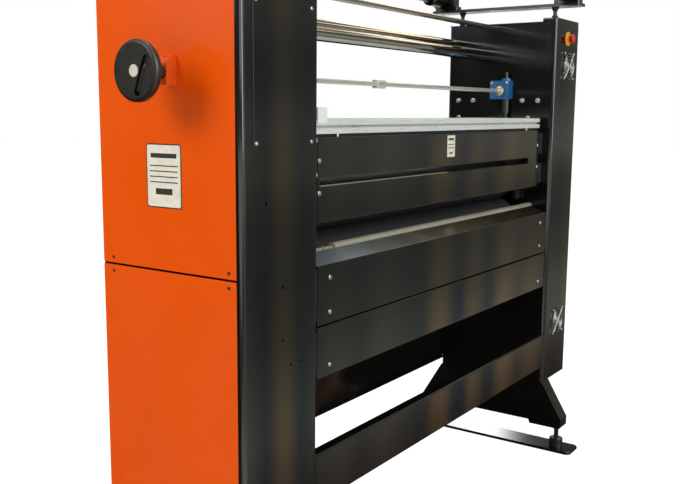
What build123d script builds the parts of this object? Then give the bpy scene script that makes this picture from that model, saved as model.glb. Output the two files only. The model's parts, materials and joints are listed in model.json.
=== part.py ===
from build123d import *
from collections import namedtuple
import math
import os

os.makedirs("parts", exist_ok=True)

# Wide roll laminator, in millimetres. +X runs to the right along the machine, +Y to
# the back, +Z up, and the floor is Z = 0. The left housing holds the drive and carries
# the handwheel, the right one is the electrical cabinet.

# Whole machine
frame_gap = 1695.0
housing_depth = 500.0
drive_housing_width = 308.0
cabinet_width = 270.0
housing_top = 1857.0
housing_bottom = 300.0
corner_radius = 18.0
corner_flat = 2.0
sharp_bend = 1.0
sheet = 2.0
cover_gap = 0.5
fit_gap = 0.02
running_gap = 0.05
slide_gap = 0.3
overcut = 1.0

# Side frames
frame_thickness = 75.0
plate_thickness = 12.0
post_depth = 60.0
post_wall = 5.0
toe_reach = 93.0
toe_top = 145.0
toe_face = 37.0
toe_chamfer = 5.0
foot_underside = 103.0
recess_height = 17.0
recess_inset = 56.0
recess_slope = 6.0

# Feet
foot_bar_width = 115.0
foot_bar_thickness = 12.0
foot_bar_overhang = 145.0
foot_bar_chamfer = 14.0
foot_bar_edge = 1.0
levelling_inset = 30.0
levelling_radius = 10.0
levelling_grip = 32.0
levelling_socket = 14.0
levelling_nut_radius = 16.0
levelling_nut_height = 12.0
pad_radius = 29.0
pad_height = 38.0
pad_round = 4.0

# Lids and top bars
lid_thickness = 3.0
lid_cap_height = 18.0
lid_cap_depth = 62.0
lid_round = 5.0
bar_width = 80.0
bar_thickness = 12.0
bar_rise = 61.0
bar_overhang = 90.0
bar_chamfer = 4.0
bar_post_radius = 8.0
bar_post_front = 25.0
bar_post_rear_margin = 44.0
bar_post_cone_radius = 17.0
bar_post_cone_height = 16.0
bar_post_nut_radius = 13.0
bar_post_nut_height = 10.0

# Supply shafts on the top bars
supply_shaft_radius = 25.0
supply_shaft_height = 47.0
supply_shaft_overrun = 8.0
supply_inset = 60.0
pillow_length = 110.0
pillow_width = 50.0
pillow_base_height = 18.0
pillow_ring_radius = 40.0
pillow_round = 8.0
chuck_radius = 38.0
chuck_length = 110.0
chuck_nose = 10.0
chuck_inset = 14.0
chuck_flange_radius = 50.0
chuck_flange_width = 12.0

# Side covers
cover_seam_height = 1064.0
cover_seam = 5.5
cover_edge = 17.5
cover_rest = 22.0
cover_round = 1.2
cover_screw_inset = 24.0
cover_screw_from_seam = 19.0
cover_screw_head = 1.5
cover_screw_head_radius = 4.5

# Front access cover, measured outwards from the left frame's inner face
access_start = 17.5
access_end = 263.0
access_drop = 108.0
access_height = 356.0
access_screw_inset = 10.5
access_screw_margin = 7.0
front_hole_radius = 4.0
front_holes = ((214.0, 1250.0), (147.0, 1026.0), (147.0, 884.0), (113.0, 812.0), (67.0, 812.0))

# Cover from the table down to the nip, set back from the housings' front plane
cover_setback = 38.0
cover_end_gap = 56.0
cover_flange = 22.0
cover_table_gap = 8.0
cover_spacer_radius = 4.0
cover_spacer_inset = 166.0
cover_slot_left = 67.0
cover_slot_right = 160.0
cover_above_slot = 113.0
cover_slot_height = 24.0
cover_below_slot = 100.0
cover_lip_drop = 11.0
cover_lip_depth = 27.0
cover_screw_from_frame = 64.0
cover_screw_above_slot = 48.0
cover_screw_below_slot = 18.0

# Infeed panel and lower panel, set back from the housings' front plane
panel_setback = 8.0
panel_end_gap = 16.0
infeed_bend_drop = 23.0
infeed_lip_rise = 24.5
infeed_lip_depth = 64.0
infeed_panel_height = 171.0
panel_seam = 4.0
lower_panel_height = 149.5
bend_radius = 2.0
panel_screw_from_frame = 76.0
infeed_screw_drop = 39.0
panel_screw_margin = 33.0
bracket_reach = 92.0
bracket_sheet = 4.0
bracket_depth = 50.0
bracket_margin = 12.0
beam_high = 518.0
beam_low = 370.0
beam_depth = 40.0
beam_wall = 4.0
beam_round = 5.0
rear_panel_rise = 32.0
rear_panel_low = 343.0
rear_panel_flange = 25.0

# Table
table_rise = 422.0
table_profile_size = 40.0
table_depth = 300.0
table_end_gap = 50.0
table_round = 1.5
table_sheet = 4.0
slot_width = 8.0
slot_depth = 12.0
slot_undercut = 6.0
slot_lip = 3.0
table_bracket_sheet = 5.0
table_bracket_reach = 120.0
table_bracket_drop = 50.0
table_bracket_length = 60.0
table_rear_bracket_length = 30.0
table_bracket_gap = 4.0
edge_guide_from_frame = 52.0
edge_guide_width = 45.0
edge_guide_height = 34.0
edge_guide_lip = 9.0
edge_guide_overlap = 3.0
edge_guide_thickness = 8.0
edge_guide_round = 2.0

# Roller places, back from the front plane and up from the floor
nip_y = 220.0
lower_nip_height = 1035.0
nip_roller_diameter = 160.0
nip_sleeve_thickness = 12.0
nip_core_wall = 12.0
nip_face_inset = 60.0
nip_gap = 0.4
nip_head_length = 20.0
upper_journal_radius = 20.0
lower_journal_radius = 22.0
journal_bore_radius = 8.0
rear_roller_drop = 93.0
main_roller_ahead = 85.0
main_roller_drop = 131.0
chrome_roller_diameter = 48.0
chrome_roller_wall = 5.0
chrome_journal_radius = 12.5
chrome_bore_radius = 4.0
guide_rod_y = 252.0
guide_rod_drop = 21.0
guide_rod_radius = 10.0
rod_chamfer = 1.0
infeed_roller_y = 92.0
infeed_roller_rise = 45.5
infeed_roller_radius = 15.0
infeed_roller_left_gap = 201.0
infeed_roller_right_gap = 5.0
infeed_journal_radius = 6.0
infeed_collar_radius = 10.0
infeed_collar_width = 6.0
infeed_collar_from_left = 150.0
roller_end_gap = 3.0
journal_overrun = 2.0
journal_relief = 1.0

# Bearings
bearing_wall = 9.0
bearing_width = 18.0
bearing_housing_wall = 8.0
bearing_hole_gap = 1.5
bearing_post_gap = 5.5
upper_bearing_wall = 20.0
upper_bearing_width = 24.0

# Nip lift
jack_y_length = 87.0
jack_height = 77.0
jack_depth = 44.0
jack_back = 6.0
jack_rise = 5.0
jack_round = 4.0
jack_hub_radius = 21.0
jack_hub_length = 14.0
jack_neck_radius = 19.0
jack_neck_height = 10.0
jack_bore_wall = 1.0
cross_shaft_y = 225.0
cross_shaft_rise = 115.0
cross_shaft_radius = 8.0
coupling_radius = 15.0
coupling_length = 60.0
coupling_from_left = 637.0
coupling_chamfer = 1.5
jack_bore_inset = 2.0
shaft_end_gap = 1.0
spindle_from_frame = 24.0
spindle_radius = 8.0
spindle_rise = 80.0
spindle_seat = 20.0
spindle_guard_radius = 15.0
spindle_guard_length = 60.0
spindle_guard_gap = 1.0
carriage_width = 140.0
carriage_depth = 46.0
carriage_chamfer = 6.0
carriage_frame_gap = 2.0
carriage_drop = 150.0
carriage_below_roller = 62.0
guide_width = 12.0
guide_top_margin = 20.0
guide_bottom_rise = 75.0

# Handwheel and position indicator
indicator_width = 33.0
indicator_height = 75.0
indicator_depth = 35.0
indicator_rise = 5.0
indicator_round = 2.0
indicator_slope = 20.0
indicator_window_width = 24.0
indicator_window_inset = 2.0
wheel_offset = 101.0
wheel_radius = 75.0
wheel_thickness = 24.0
wheel_round = 9.0
wheel_hub_radius = 17.0
wheel_cap_radius = 15.0
wheel_cap_rise = 2.0
wheel_cap_seat = 4.0
wheel_cap_round = 1.5
handle_pocket_length = 102.0
handle_pocket_width = 21.0
handle_pocket_depth = 19.5
handle_pocket_offset = 27.5
handle_pocket_round = 9.5
handle_lean = 21.9
handle_slide = 2.0
handle_radius = 8.5
handle_neck_radius = 6.5
handle_neck_end = 10.5
handle_shoulder = 18.5
handle_length = 84.0
handle_end_round = 6.0
handle_pin_radius = 2.5
handle_pin_from_end = 11.0
handle_pin_grip = 3.0
handle_pin_play = 2.0

# Drive
belt_width = 20.0
belt_thickness = 4.0
belt_gap = 0.3
belt_from_frame = 62.0
roller_pulley_radius = 75.0
motor_pulley_radius = 50.0
pulley_flange = 4.0
pulley_flange_width = 2.0
motor_height = 700.0
output_radius = 12.0
output_seat = 30.0
output_overrun = 4.0
output_end_gap = 1.0
gearbox_size = 120.0
gearbox_length = 90.0
gearbox_gap = 9.0
gearbox_chamfer = 10.0
motor_radius = 58.0
motor_cover_gap = 27.0
motor_shelf_thickness = 8.0
motor_shelf_length = 200.0
motor_fin_count = 20
motor_fin_depth = 5.0
motor_fin_margin = 20.0
motor_groove_width = 5.0

# Emergency stop, placed from the right frame's inner face
estop_x = 134.0
estop_drop = 62.0
estop_plate_radius = 30.0
estop_plate_thickness = 3.0
estop_plate_round = 1.5
estop_collar_radius = 14.0
estop_collar_length = 4.0
estop_barrel_radius = 11.0
estop_barrel_length = 28.0
estop_block_width = 30.0
estop_block_height = 42.0
estop_block_depth = 36.0
estop_head_radius = 20.0
estop_head_length = 15.0
estop_head_taper = 3.0
estop_head_gap = 5.5
estop_stem_radius = 6.0
estop_stem_length = 34.0
estop_stem_gap = 1.0
estop_round = 4.0

# Cooling fans, placed from the right frame's inner face
fan_x = 145.0
upper_fan_drop = 177.0
lower_fan_rise = 256.0
fan_size = 119.0
fan_depth = 38.0
fan_round = 4.0
fan_bore_radius = 56.5
fan_hub_radius = 23.0
fan_hub_length = 24.0
fan_hub_round = 3.0
fan_hub_wall = 3.0
fan_stator_thickness = 4.0
fan_pin_radius = 4.0
fan_strut = 8.0
fan_strut_inset = 2.0
fan_rotor_gap = 1.0
fan_blade_count = 7
fan_blade_tip = 54.0
fan_blade_root = 3.0
fan_blade_thickness = 2.5
fan_blade_width = 26.0
fan_blade_pitch = 38.0
fan_hole_pitch = 105.0
guard_wire = 1.5
guard_rings = (16.0, 29.0, 42.0, 54.0)
guard_standoff = 7.0
guard_eye_radius = 5.0
guard_lap = 1.4

# Power inlet on the cabinet's rear, placed from the right frame's inner face
gland_x = 200.0
gland_height = 380.0
gland_nut_radius = 18.0
gland_nut_length = 8.0
gland_dome_radius = 14.0
gland_dome_length = 16.0
gland_round = 4.0
gland_thread_radius = 12.0
gland_thread_length = 14.0
gland_bore_radius = 6.0

# Cabinet gear
gear_plate_from_frame = 84.0
gear_plate_sheet = 3.0
gear_plate_margin = 75.0
gear_plate_low = 720.0
gear_plate_high = 1600.0
standoff_radius = 8.0
standoff_inset = 30.0
inverter_size = (130.0, 130.0, 200.0)
supply_size = (95.0, 110.0, 130.0)
rail_depth = 8.0
rail_height = 35.0
rail_pitch = 151.0
gear_spacing = 10.0
module_depth = 66.0
module_height = 84.0
module_pitch = 36.0
module_width = 35.0
module_count = 6

# Screws and bolts
screw_radius = 3.0
screw_head_radius = 5.5
panel_screw_head_radius = 7.0
screw_head_height = 3.0
screw_head_round = 1.4
screw_socket_radius = 1.8
screw_socket_depth = 2.1
screw_reach = 7.0
bolt_radius = 6.0
bolt_head_radius = 8.5
bolt_head_height = 8.0
bolt_round = 1.0
washer_radius = 10.5
washer_height = 2.0
socket_radius = 3.6
socket_depth = 4.0
front_bolt_offsets = ((71.0, 75.0), (142.0, 75.0), (112.0, 0.0))
rear_bolt_offsets = ((125.5, 75.0), (54.5, 75.0), (56.0, 0.0))

# Places worked out from the sizes above. The origin is the middle of the whole
# machine on the floor, handwheel included.
handwheel_reach = wheel_offset + wheel_thickness + wheel_cap_rise
left_reach = drive_housing_width + handwheel_reach
right_reach = cabinet_width + cover_screw_head
middle_shift = (left_reach - right_reach) / 2
left_face = middle_shift - frame_gap / 2
right_face = middle_shift + frame_gap / 2
front = -housing_depth / 2
back = housing_depth / 2
lid_top = housing_top + lid_cap_height
bar_underside = housing_top + bar_rise
bar_top = bar_underside + bar_thickness
chrome_bearing_reach = chrome_journal_radius + running_gap + bearing_wall + bearing_housing_wall
rear_roller_y = housing_depth - post_depth - bearing_post_gap - chrome_bearing_reach
main_roller_y = rear_roller_y - main_roller_ahead
spindle_y = cross_shaft_y - cross_shaft_radius - jack_bore_wall - spindle_radius
jack_y = cross_shaft_y + jack_back
motor_end = drive_housing_width - motor_cover_gap
frame_bolt_offsets = front_bolt_offsets + tuple(
    (housing_depth - offset, rise) for offset, rise in rear_bolt_offsets)
supply_front = front - bar_overhang + supply_inset
supply_rear = back + bar_overhang - supply_inset

# Heights that follow the housings' ends
access_high = housing_top - access_drop
access_low = access_high - access_height
main_roller_height = housing_top - main_roller_drop
rear_roller_height = housing_top - rear_roller_drop
guide_rod_height = housing_top - guide_rod_drop
estop_height = housing_top - estop_drop
fan_heights = (housing_top - upper_fan_drop, housing_bottom + lower_fan_rise)

# Heights that follow the nip
upper_nip_height = lower_nip_height + nip_roller_diameter + nip_gap
rear_panel_high = lower_nip_height + rear_panel_rise
infeed_roller_height = lower_nip_height + infeed_roller_rise
infeed_bend_height = infeed_roller_height - infeed_bend_drop
infeed_panel_low = infeed_bend_height - infeed_panel_height
lower_panel_high = infeed_panel_low - panel_seam
lower_panel_low = lower_panel_high - lower_panel_height
infeed_screw_heights = (infeed_bend_height - infeed_screw_drop, infeed_panel_low + panel_screw_margin)
lower_screw_heights = (lower_panel_low + panel_screw_margin,)
table_high = lower_nip_height + table_rise
table_underside = table_high - table_profile_size
cover_top = table_underside - cover_table_gap
cover_slot_high = cover_top - cover_above_slot
cover_slot_low = cover_slot_high - cover_slot_height
cover_low = cover_slot_low - cover_below_slot
cover_screw_heights = (cover_slot_high + cover_screw_above_slot,
                       cover_slot_low - cover_screw_below_slot)
cross_shaft_height = table_high + cross_shaft_rise
jack_centre_height = cross_shaft_height + jack_rise
spindle_top = cross_shaft_height + spindle_rise
carriage_top = cross_shaft_height - carriage_drop
guide_top = carriage_top - guide_top_margin
guide_bottom = lower_nip_height + guide_bottom_rise

Side = namedtuple("Side", "face out width")
LEFT = Side(left_face, -1, drive_housing_width)
RIGHT = Side(right_face, 1, cabinet_width)
SIDES = (LEFT, RIGHT)


def out(side, distance):
    """X of a point that lies this far outwards from a side frame's inner face."""
    return side.face + side.out * distance


def block(x0, x1, y0, y1, z0, z1):
    """Box between two limits on each axis, given in either order."""
    middle = Pos((x0 + x1) / 2, (y0 + y1) / 2, (z0 + z1) / 2)
    return middle * Box(abs(x1 - x0), abs(y1 - y0), abs(z1 - z0))


def rod_x(x0, x1, y, z, radius):
    return Pos((x0 + x1) / 2, y, z) * Rot(0, 90, 0) * Cylinder(radius, abs(x1 - x0))


def rod_y(x, y0, y1, z, radius):
    return Pos(x, (y0 + y1) / 2, z) * Rot(90, 0, 0) * Cylinder(radius, abs(y1 - y0))


def rod_z(x, y, z0, z1, radius):
    return Pos(x, y, (z0 + z1) / 2) * Cylinder(radius, abs(z1 - z0))


def hole_x(x0, x1, y, z, radius):
    """Cutter that runs past both of the faces it opens."""
    return rod_x(min(x0, x1) - overcut, max(x0, x1) + overcut, y, z, radius)


def hole_y(x, y0, y1, z, radius):
    return rod_y(x, y0 - overcut, y1 + overcut, z, radius)


def hole_z(x, y, z0, z1, radius):
    return rod_z(x, y, z0 - overcut, z1 + overcut, radius)


def profile_x(points, x0, x1):
    """Solid along X with the given outline of (y, z) points."""
    face = make_face(Polyline(*points, close=True))
    return extrude(Plane.YZ.offset(min(x0, x1)) * face, abs(x1 - x0))


def profile_z(points, z0, z1):
    """Solid along Z with the given outline of (x, y) points."""
    face = make_face(Polyline(*points, close=True))
    return extrude(Plane.XY.offset(z0) * face, z1 - z0)


def offset_line(points, thickness):
    """The same bent line moved to its left by a sheet's thickness."""
    moved = []
    for index, (u, v) in enumerate(points):
        before = points[max(index - 1, 0)]
        after = points[min(index + 1, len(points) - 1)]
        first = math.atan2(v - before[1], u - before[0]) if index else None
        last = math.atan2(after[1] - v, after[0] - u) if index < len(points) - 1 else first
        first = last if first is None else first
        half = math.remainder(last - first, 2 * math.pi) / 2
        reach = thickness / math.cos(half)
        angle = first + half + math.pi / 2
        moved.append((u + reach * math.cos(angle), v + reach * math.sin(angle)))
    return moved


def fold(points, thickness, make, start, end, *radii):
    """Folded sheet: the line is its outer face and the sheet lies to the line's left.

    The inner bend radii are one for all the bends, or one for each in order.
    """
    inner = offset_line(points, thickness)
    solid = make(points + inner[::-1], start, end)
    axis = Axis.X if make is profile_x else Axis.Z
    bends = len(points) - 2
    each = radii if len(radii) == bends else radii[:1] * bends
    for corners, extra in ((inner[1:-1], 0), (points[1:-1], thickness)):
        for corner, radius in zip(corners, each):
            picked = []
            for edge in solid.edges().filter_by(axis):
                middle = edge.center()
                place = (middle.Y, middle.Z) if make is profile_x else (middle.X, middle.Y)
                if math.dist(place, corner) < fit_gap:
                    picked.append(edge)
            solid = fillet(picked, radius + extra)
    return solid


def tube_x(x0, x1, y, z, outer, inner):
    return rod_x(x0, x1, y, z, outer) - hole_x(x0, x1, y, z, inner)


def save(node, *pieces):
    """Write one node as its separate solids."""
    solids = [solid for piece in pieces for solid in piece.solids()]
    shape = solids[0] if len(solids) == 1 else Compound(solids)
    export_step(shape, f"parts/{node}.step")


# Side frames and feet

def bearing_places():
    """Every roller carried by both frame plates: y, z and journal radius."""
    return ((nip_y, lower_nip_height, lower_journal_radius),
            (main_roller_y, main_roller_height, chrome_journal_radius),
            (rear_roller_y, rear_roller_height, chrome_journal_radius),
            (infeed_roller_y, infeed_roller_height, infeed_journal_radius))


def foot_outline():
    low = foot_underside
    toe = toe_reach
    half = [(front, housing_bottom),
            (front - toe, toe_top),
            (front - toe, toe_top - toe_face),
            (front - toe + toe_chamfer, low),
            (front + recess_inset - recess_slope, low),
            (front + recess_inset, low + recess_height)]
    return half + [(-y, z) for y, z in half[::-1]]


def levelling_places():
    """Centre of each levelling screw, as (x, y)."""
    reach = toe_reach - levelling_inset
    return [(out(side, frame_thickness / 2), y)
            for side in SIDES for y in (front - reach, back + reach)]


def frame_hole(side, y, z, radius):
    return hole_x(out(side, 0), out(side, plate_thickness), front + y, z, radius)


def side_frame(side):
    plate = block(out(side, 0), out(side, plate_thickness), front + corner_radius,
                  back - corner_radius, housing_bottom, housing_top)
    frame = plate + profile_x(foot_outline(), out(side, 0), out(side, frame_thickness))
    for y, z, radius in bearing_places():
        frame -= frame_hole(side, y, z, radius + bearing_hole_gap)
    frame -= frame_hole(side, guide_rod_y, guide_rod_height, guide_rod_radius + fit_gap)
    frame -= frame_hole(side, cross_shaft_y, cross_shaft_height,
                        cross_shaft_radius + bearing_hole_gap)
    for y, rise in frame_bolt_offsets:
        frame -= frame_hole(side, y, table_high + rise, bolt_radius + fit_gap)
    for x, y in levelling_places():
        frame -= rod_z(x, y, 0, foot_underside + levelling_grip, levelling_radius + fit_gap)
    return frame


def frame_posts():
    posts = []
    for side in SIDES:
        for facing in (-1, 1):
            y0, y1 = sorted((facing * (back - sheet), facing * (back - post_depth)))
            outer = block(out(side, plate_thickness), out(side, frame_thickness), y0, y1,
                          housing_bottom, housing_top)
            inner = block(out(side, plate_thickness + post_wall),
                          out(side, frame_thickness - post_wall), y0 + post_wall, y1 - post_wall,
                          housing_bottom, housing_top)
            corner = Vector(side.face, facing * back, (housing_bottom + housing_top) / 2)
            near_corner = outer.edges().filter_by(Axis.Z).sort_by(
                lambda edge: (edge.center() - corner).length)[0]
            post = fillet(near_corner, corner_radius - plate_thickness) - inner
            if facing < 0:
                for x, z in front_hole_places():
                    post -= hole_y(x, y0, y0 + post_wall, z, front_hole_radius)
                for x, z in access_screw_places():
                    post -= hole_y(x, y0, y0 + post_wall, z, screw_radius + slide_gap)
            posts.append(post)
    return posts


def foot_bars():
    bars = []
    for side in SIDES:
        middle = out(side, frame_thickness / 2)
        bar = block(middle - foot_bar_width / 2, middle + foot_bar_width / 2,
                    front - foot_bar_overhang, back + foot_bar_overhang, 0, foot_bar_thickness)
        bar = chamfer(bar.edges().filter_by(Axis.Z), foot_bar_chamfer)
        bars.append(chamfer(bar.faces().sort_by(Axis.Z)[-1].edges(), foot_bar_edge))
    return bars


def levelling_screws():
    screws = []
    for x, y in levelling_places():
        base = foot_bar_thickness + pad_height - levelling_socket
        screw = rod_z(x, y, base, foot_underside + levelling_grip - slide_gap, levelling_radius)
        nut = extrude(Plane.XY.offset(foot_underside - levelling_nut_height)
                      * Pos(x, y) * RegularPolygon(levelling_nut_radius, 6), levelling_nut_height)
        screws.append(screw + nut)
    return screws


def levelling_pads():
    pads = []
    for x, y in levelling_places():
        top = foot_bar_thickness + pad_height
        pad = rod_z(x, y, foot_bar_thickness, top, pad_radius)
        pad = fillet(pad.edges().sort_by(Axis.Z)[-1], pad_round)
        socket = rod_z(x, y, top - levelling_socket, top + overcut, levelling_radius + fit_gap)
        pads.append(pad - socket)
    return pads


# Housings

def front_hole_places():
    return [(out(LEFT, distance), height) for distance, height in front_holes]


def access_screw_places():
    return [(out(LEFT, distance), height)
            for distance in (access_start + access_screw_inset, access_end - access_screw_inset)
            for height in (access_low + access_screw_margin, access_high - access_screw_margin)]


def cover_screw_places(side):
    """Screws beside the seam between the two side covers, as (y, z)."""
    return [(y, cover_seam_height + offset)
            for y in (front + cover_edge + cover_screw_inset, back - cover_edge - cover_screw_inset)
            for offset in (-cover_screw_from_seam, cover_screw_from_seam)]


def housing_wall(side, facing):
    """Front (facing -1) or rear (facing 1) sheet, folded back at both vertical corners.

    Its outer edge stops at the side covers, which rest on a strip behind it. The drive
    housing's inner front corner is sharp, and its covers run back over the rear sheet.
    """
    wall = facing * housing_depth / 2
    under_cover = side is LEFT and facing > 0
    rest_end = wall - facing * (cover_edge + cover_rest)
    round_bend = corner_radius - sheet - corner_flat
    inner_end = wall - facing * (corner_radius - cover_gap)
    width = side.width - sheet if under_cover else side.width
    outer_end = rest_end if under_cover else wall - facing * (cover_edge - cover_gap)
    line = [(out(side, 0), inner_end), (out(side, 0), wall),
            (out(side, width), wall), (out(side, width), outer_end)]
    bends = [sharp_bend if side is LEFT and facing < 0 else round_bend,
             sharp_bend if under_cover else round_bend]
    if side.out * facing > 0:
        line.reverse()
        bends.reverse()
    solid = fold(line, sheet, profile_z, housing_bottom, housing_top, *bends)
    if not under_cover:
        rest_start = wall - facing * corner_radius / 2
        solid += block(out(side, side.width - sheet), out(side, side.width - 2 * sheet),
                       rest_end, rest_start, housing_bottom, housing_top)
    for y, z in cover_screw_places(side):
        solid -= rod_x(out(side, side.width), out(side, side.width - screw_reach), y, z,
                       screw_radius + fit_gap)
    return solid


def left_front_panel():
    panel = housing_wall(LEFT, -1)
    for x, z in front_hole_places():
        panel -= hole_y(x, front, front + sheet, z, front_hole_radius)
    for x, z in access_screw_places():
        panel -= hole_y(x, front, front + sheet, z, screw_radius + fit_gap)
    return panel


def fan_centres():
    return [(out(RIGHT, fan_x), height) for height in fan_heights]


def fan_corners(x, z):
    half = fan_hole_pitch / 2
    return [(x + i * half, z + k * half) for i in (-1, 1) for k in (-1, 1)]


def right_front_panel():
    panel = housing_wall(RIGHT, -1)
    panel -= hole_y(out(RIGHT, estop_x), front, front + sheet, estop_height,
                    estop_barrel_radius + fit_gap)
    for x, z in fan_centres():
        panel -= hole_y(x, front, front + sheet, z, fan_bore_radius)
        for corner_x, corner_z in fan_corners(x, z):
            panel -= hole_y(corner_x, front, front + sheet, corner_z, screw_radius + fit_gap)
    return panel


def side_cover(side, low, high):
    rear_edge = back if side is LEFT else back - cover_edge
    cover = block(out(side, side.width - sheet), out(side, side.width), front + cover_edge,
                  rear_edge, low, high)
    outer = cover.faces().sort_by(Axis.X)[-1 if side.out > 0 else 0]
    cover = fillet(outer.edges(), cover_round)
    for y, z in cover_screw_places(side):
        if low < z < high:
            cover -= hole_x(out(side, side.width), out(side, side.width - sheet), y, z,
                            screw_radius + fit_gap)
    if side is LEFT and low < cross_shaft_height < high:
        cover -= hole_x(out(side, side.width), out(side, side.width - sheet),
                        front + cross_shaft_y, cross_shaft_height,
                        cross_shaft_radius + bearing_hole_gap)
    return cover


def side_covers(side):
    lower = side_cover(side, housing_bottom, cover_seam_height - cover_seam / 2)
    upper = side_cover(side, cover_seam_height + cover_seam / 2, housing_top)
    return lower, upper


def housing_end_plates():
    plates = []
    for side in SIDES:
        outline = [(front, housing_top), (back, housing_top), (back, housing_top + lid_thickness),
                   (front + lid_cap_depth, housing_top + lid_thickness),
                   (front + lid_cap_depth, lid_top), (front, lid_top)]
        lid = profile_x(outline, out(side, 0), out(side, side.width))
        upright = lid.faces().sort_by(Axis.Y)[0].edges().filter_by(Axis.Z).sort_by(Axis.X)
        lid = fillet(upright[:1] if side is LEFT else upright, corner_radius)
        lid = fillet(lid.faces().sort_by(Axis.Z)[-1].edges(), lid_round)
        plates.append(lid)
        floor = block(out(side, frame_thickness + cover_gap), out(side, side.width - 2 * sheet),
                      front + corner_radius, back - corner_radius, housing_bottom,
                      housing_bottom + lid_thickness)
        plates.append(floor)
    return plates


def access_cover():
    cover = block(out(LEFT, access_start), out(LEFT, access_end), front - sheet, front,
                  access_low, access_high)
    cover = fillet(cover.faces().sort_by(Axis.Y)[0].edges(), cover_round)
    for x, z in access_screw_places():
        cover -= hole_y(x, front - sheet, front, z, screw_radius + fit_gap)
    return cover


# Front covers, panels and what holds them

def screws_x(inset):
    return (left_face + inset, right_face - inset)


def front_sheet(line, end_gap, inset, screw_heights):
    """Folded front sheet between the frames, with its screw holes."""
    cover = fold(line, sheet, profile_x, left_face + end_gap, right_face - end_gap, bend_radius)
    plane = min(y for y, z in line)
    for x in screws_x(inset):
        for z in screw_heights:
            cover -= hole_y(x, plane, plane + sheet, z, screw_radius + fit_gap)
    return cover


def nip_front_cover():
    """Cover with a long slot, whose two edges are folded inwards."""
    plane = front + cover_setback
    line = [(plane + cover_flange, cover_top), (plane, cover_top), (plane, cover_low),
            (plane + cover_lip_depth, cover_low - cover_lip_drop)]
    cover = front_sheet(line, cover_end_gap, cover_screw_from_frame, cover_screw_heights)
    start = left_face + cover_slot_left
    end = right_face - cover_slot_right
    cover -= block(start, end, plane - overcut, plane + sheet + overcut, cover_slot_low,
                   cover_slot_high)
    for edge, step in ((cover_slot_high, 1), (cover_slot_low, -1)):
        cover += block(start, end, plane, plane + cover_flange, edge, edge + step * sheet)
    return cover


def panel_plane():
    return front + panel_setback


def infeed_panel():
    plane = panel_plane()
    line = [(plane + infeed_lip_depth, infeed_bend_height + infeed_lip_rise),
            (plane, infeed_bend_height), (plane, infeed_panel_low),
            (plane + cover_flange, infeed_panel_low)]
    return front_sheet(line, panel_end_gap, panel_screw_from_frame, infeed_screw_heights)


def lower_front_panel():
    plane = panel_plane()
    line = [(plane + cover_flange, lower_panel_high), (plane, lower_panel_high),
            (plane, lower_panel_low), (plane + cover_flange, lower_panel_low)]
    return front_sheet(line, panel_end_gap, panel_screw_from_frame, lower_screw_heights)


def lower_front_beam():
    beam = block(left_face, right_face, front, front + beam_depth, beam_low, beam_high)
    beam = fillet(beam.edges().filter_by(Axis.X), beam_round)
    core = block(left_face, right_face, front + beam_wall, front + beam_depth - beam_wall,
                 beam_low + beam_wall, beam_high - beam_wall)
    return beam - core


def rear_cover_panel():
    line = [(back - rear_panel_flange, rear_panel_low), (back, rear_panel_low),
            (back, rear_panel_high), (back - rear_panel_flange, rear_panel_high)]
    return fold(line, sheet, profile_x, left_face, right_face, bend_radius)


def angle_bracket(side, plane, low, high, inset, screw_heights):
    """Angle on a frame's inner face that a front sheet is screwed to."""
    line = [(out(side, -bracket_reach), plane), (out(side, 0), plane),
            (out(side, 0), plane + bracket_depth)]
    if side.out < 0:
        line.reverse()
    bracket = fold(line, bracket_sheet, profile_z, low, high, bend_radius)
    x = side.face - side.out * inset
    for z in screw_heights:
        bracket -= hole_y(x, plane, plane + bracket_sheet, z, screw_radius + fit_gap)
    return bracket


def inner_brackets():
    pieces = []
    room = sheet + bracket_margin
    cover_holders = ((cover_slot_high + room, cover_top - room, cover_screw_heights[:1]),
                     (cover_low + room, cover_slot_low - sheet - sheet, cover_screw_heights[1:]))
    panel_holders = ((infeed_panel_low + room, infeed_bend_height - room, infeed_screw_heights),
                     (lower_panel_low + room, lower_panel_high - room, lower_screw_heights))
    for side in SIDES:
        for low, high, heights in cover_holders:
            pieces.append(angle_bracket(side, front + cover_setback + sheet, low, high,
                                        cover_screw_from_frame, heights))
        for low, high, heights in panel_holders:
            pieces.append(angle_bracket(side, panel_plane() + sheet, low, high,
                                        panel_screw_from_frame, heights))
        pieces += table_brackets(side)
    pieces.append(motor_shelf())
    return pieces


# Table

def table_front():
    return front + cover_setback


def table_brackets(side):
    """Angles that hold the table's front and rear profiles on one frame."""
    top = table_underside
    table_back = table_front() + table_depth
    starts = ((table_front() + cover_flange + table_bracket_gap, table_bracket_length),
              (table_back - table_rear_bracket_length, table_rear_bracket_length))
    brackets = []
    for start, length in starts:
        shelf = block(out(side, 0), out(side, -table_bracket_reach), start, start + length,
                      top - table_bracket_sheet, top)
        web = block(out(side, 0), out(side, -table_bracket_sheet), start, start + length,
                    top - table_bracket_drop, top)
        brackets.append(shelf + web)
    return brackets


def table_profile(y0):
    """Square aluminium bar with a T slot along its front and rear faces."""
    start = left_face + table_end_gap
    end = right_face - table_end_gap
    size = table_profile_size
    low = table_underside
    bar = block(start, end, y0, y0 + size, low, table_high)
    bar = fillet(bar.edges().filter_by(Axis.X), table_round)
    middle_y = y0 + size / 2
    middle_z = low + size / 2
    for lip, half in ((0, slot_width / 2), (slot_lip, slot_width / 2 + slot_undercut)):
        bar -= block(start, end, y0 + lip, y0 + slot_depth, middle_z - half, middle_z + half)
        bar -= block(start, end, y0 + size - slot_depth, y0 + size - lip, middle_z - half,
                     middle_z + half)
    bar -= rod_x(start, end, middle_y, middle_z, slot_lip)
    return bar


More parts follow.
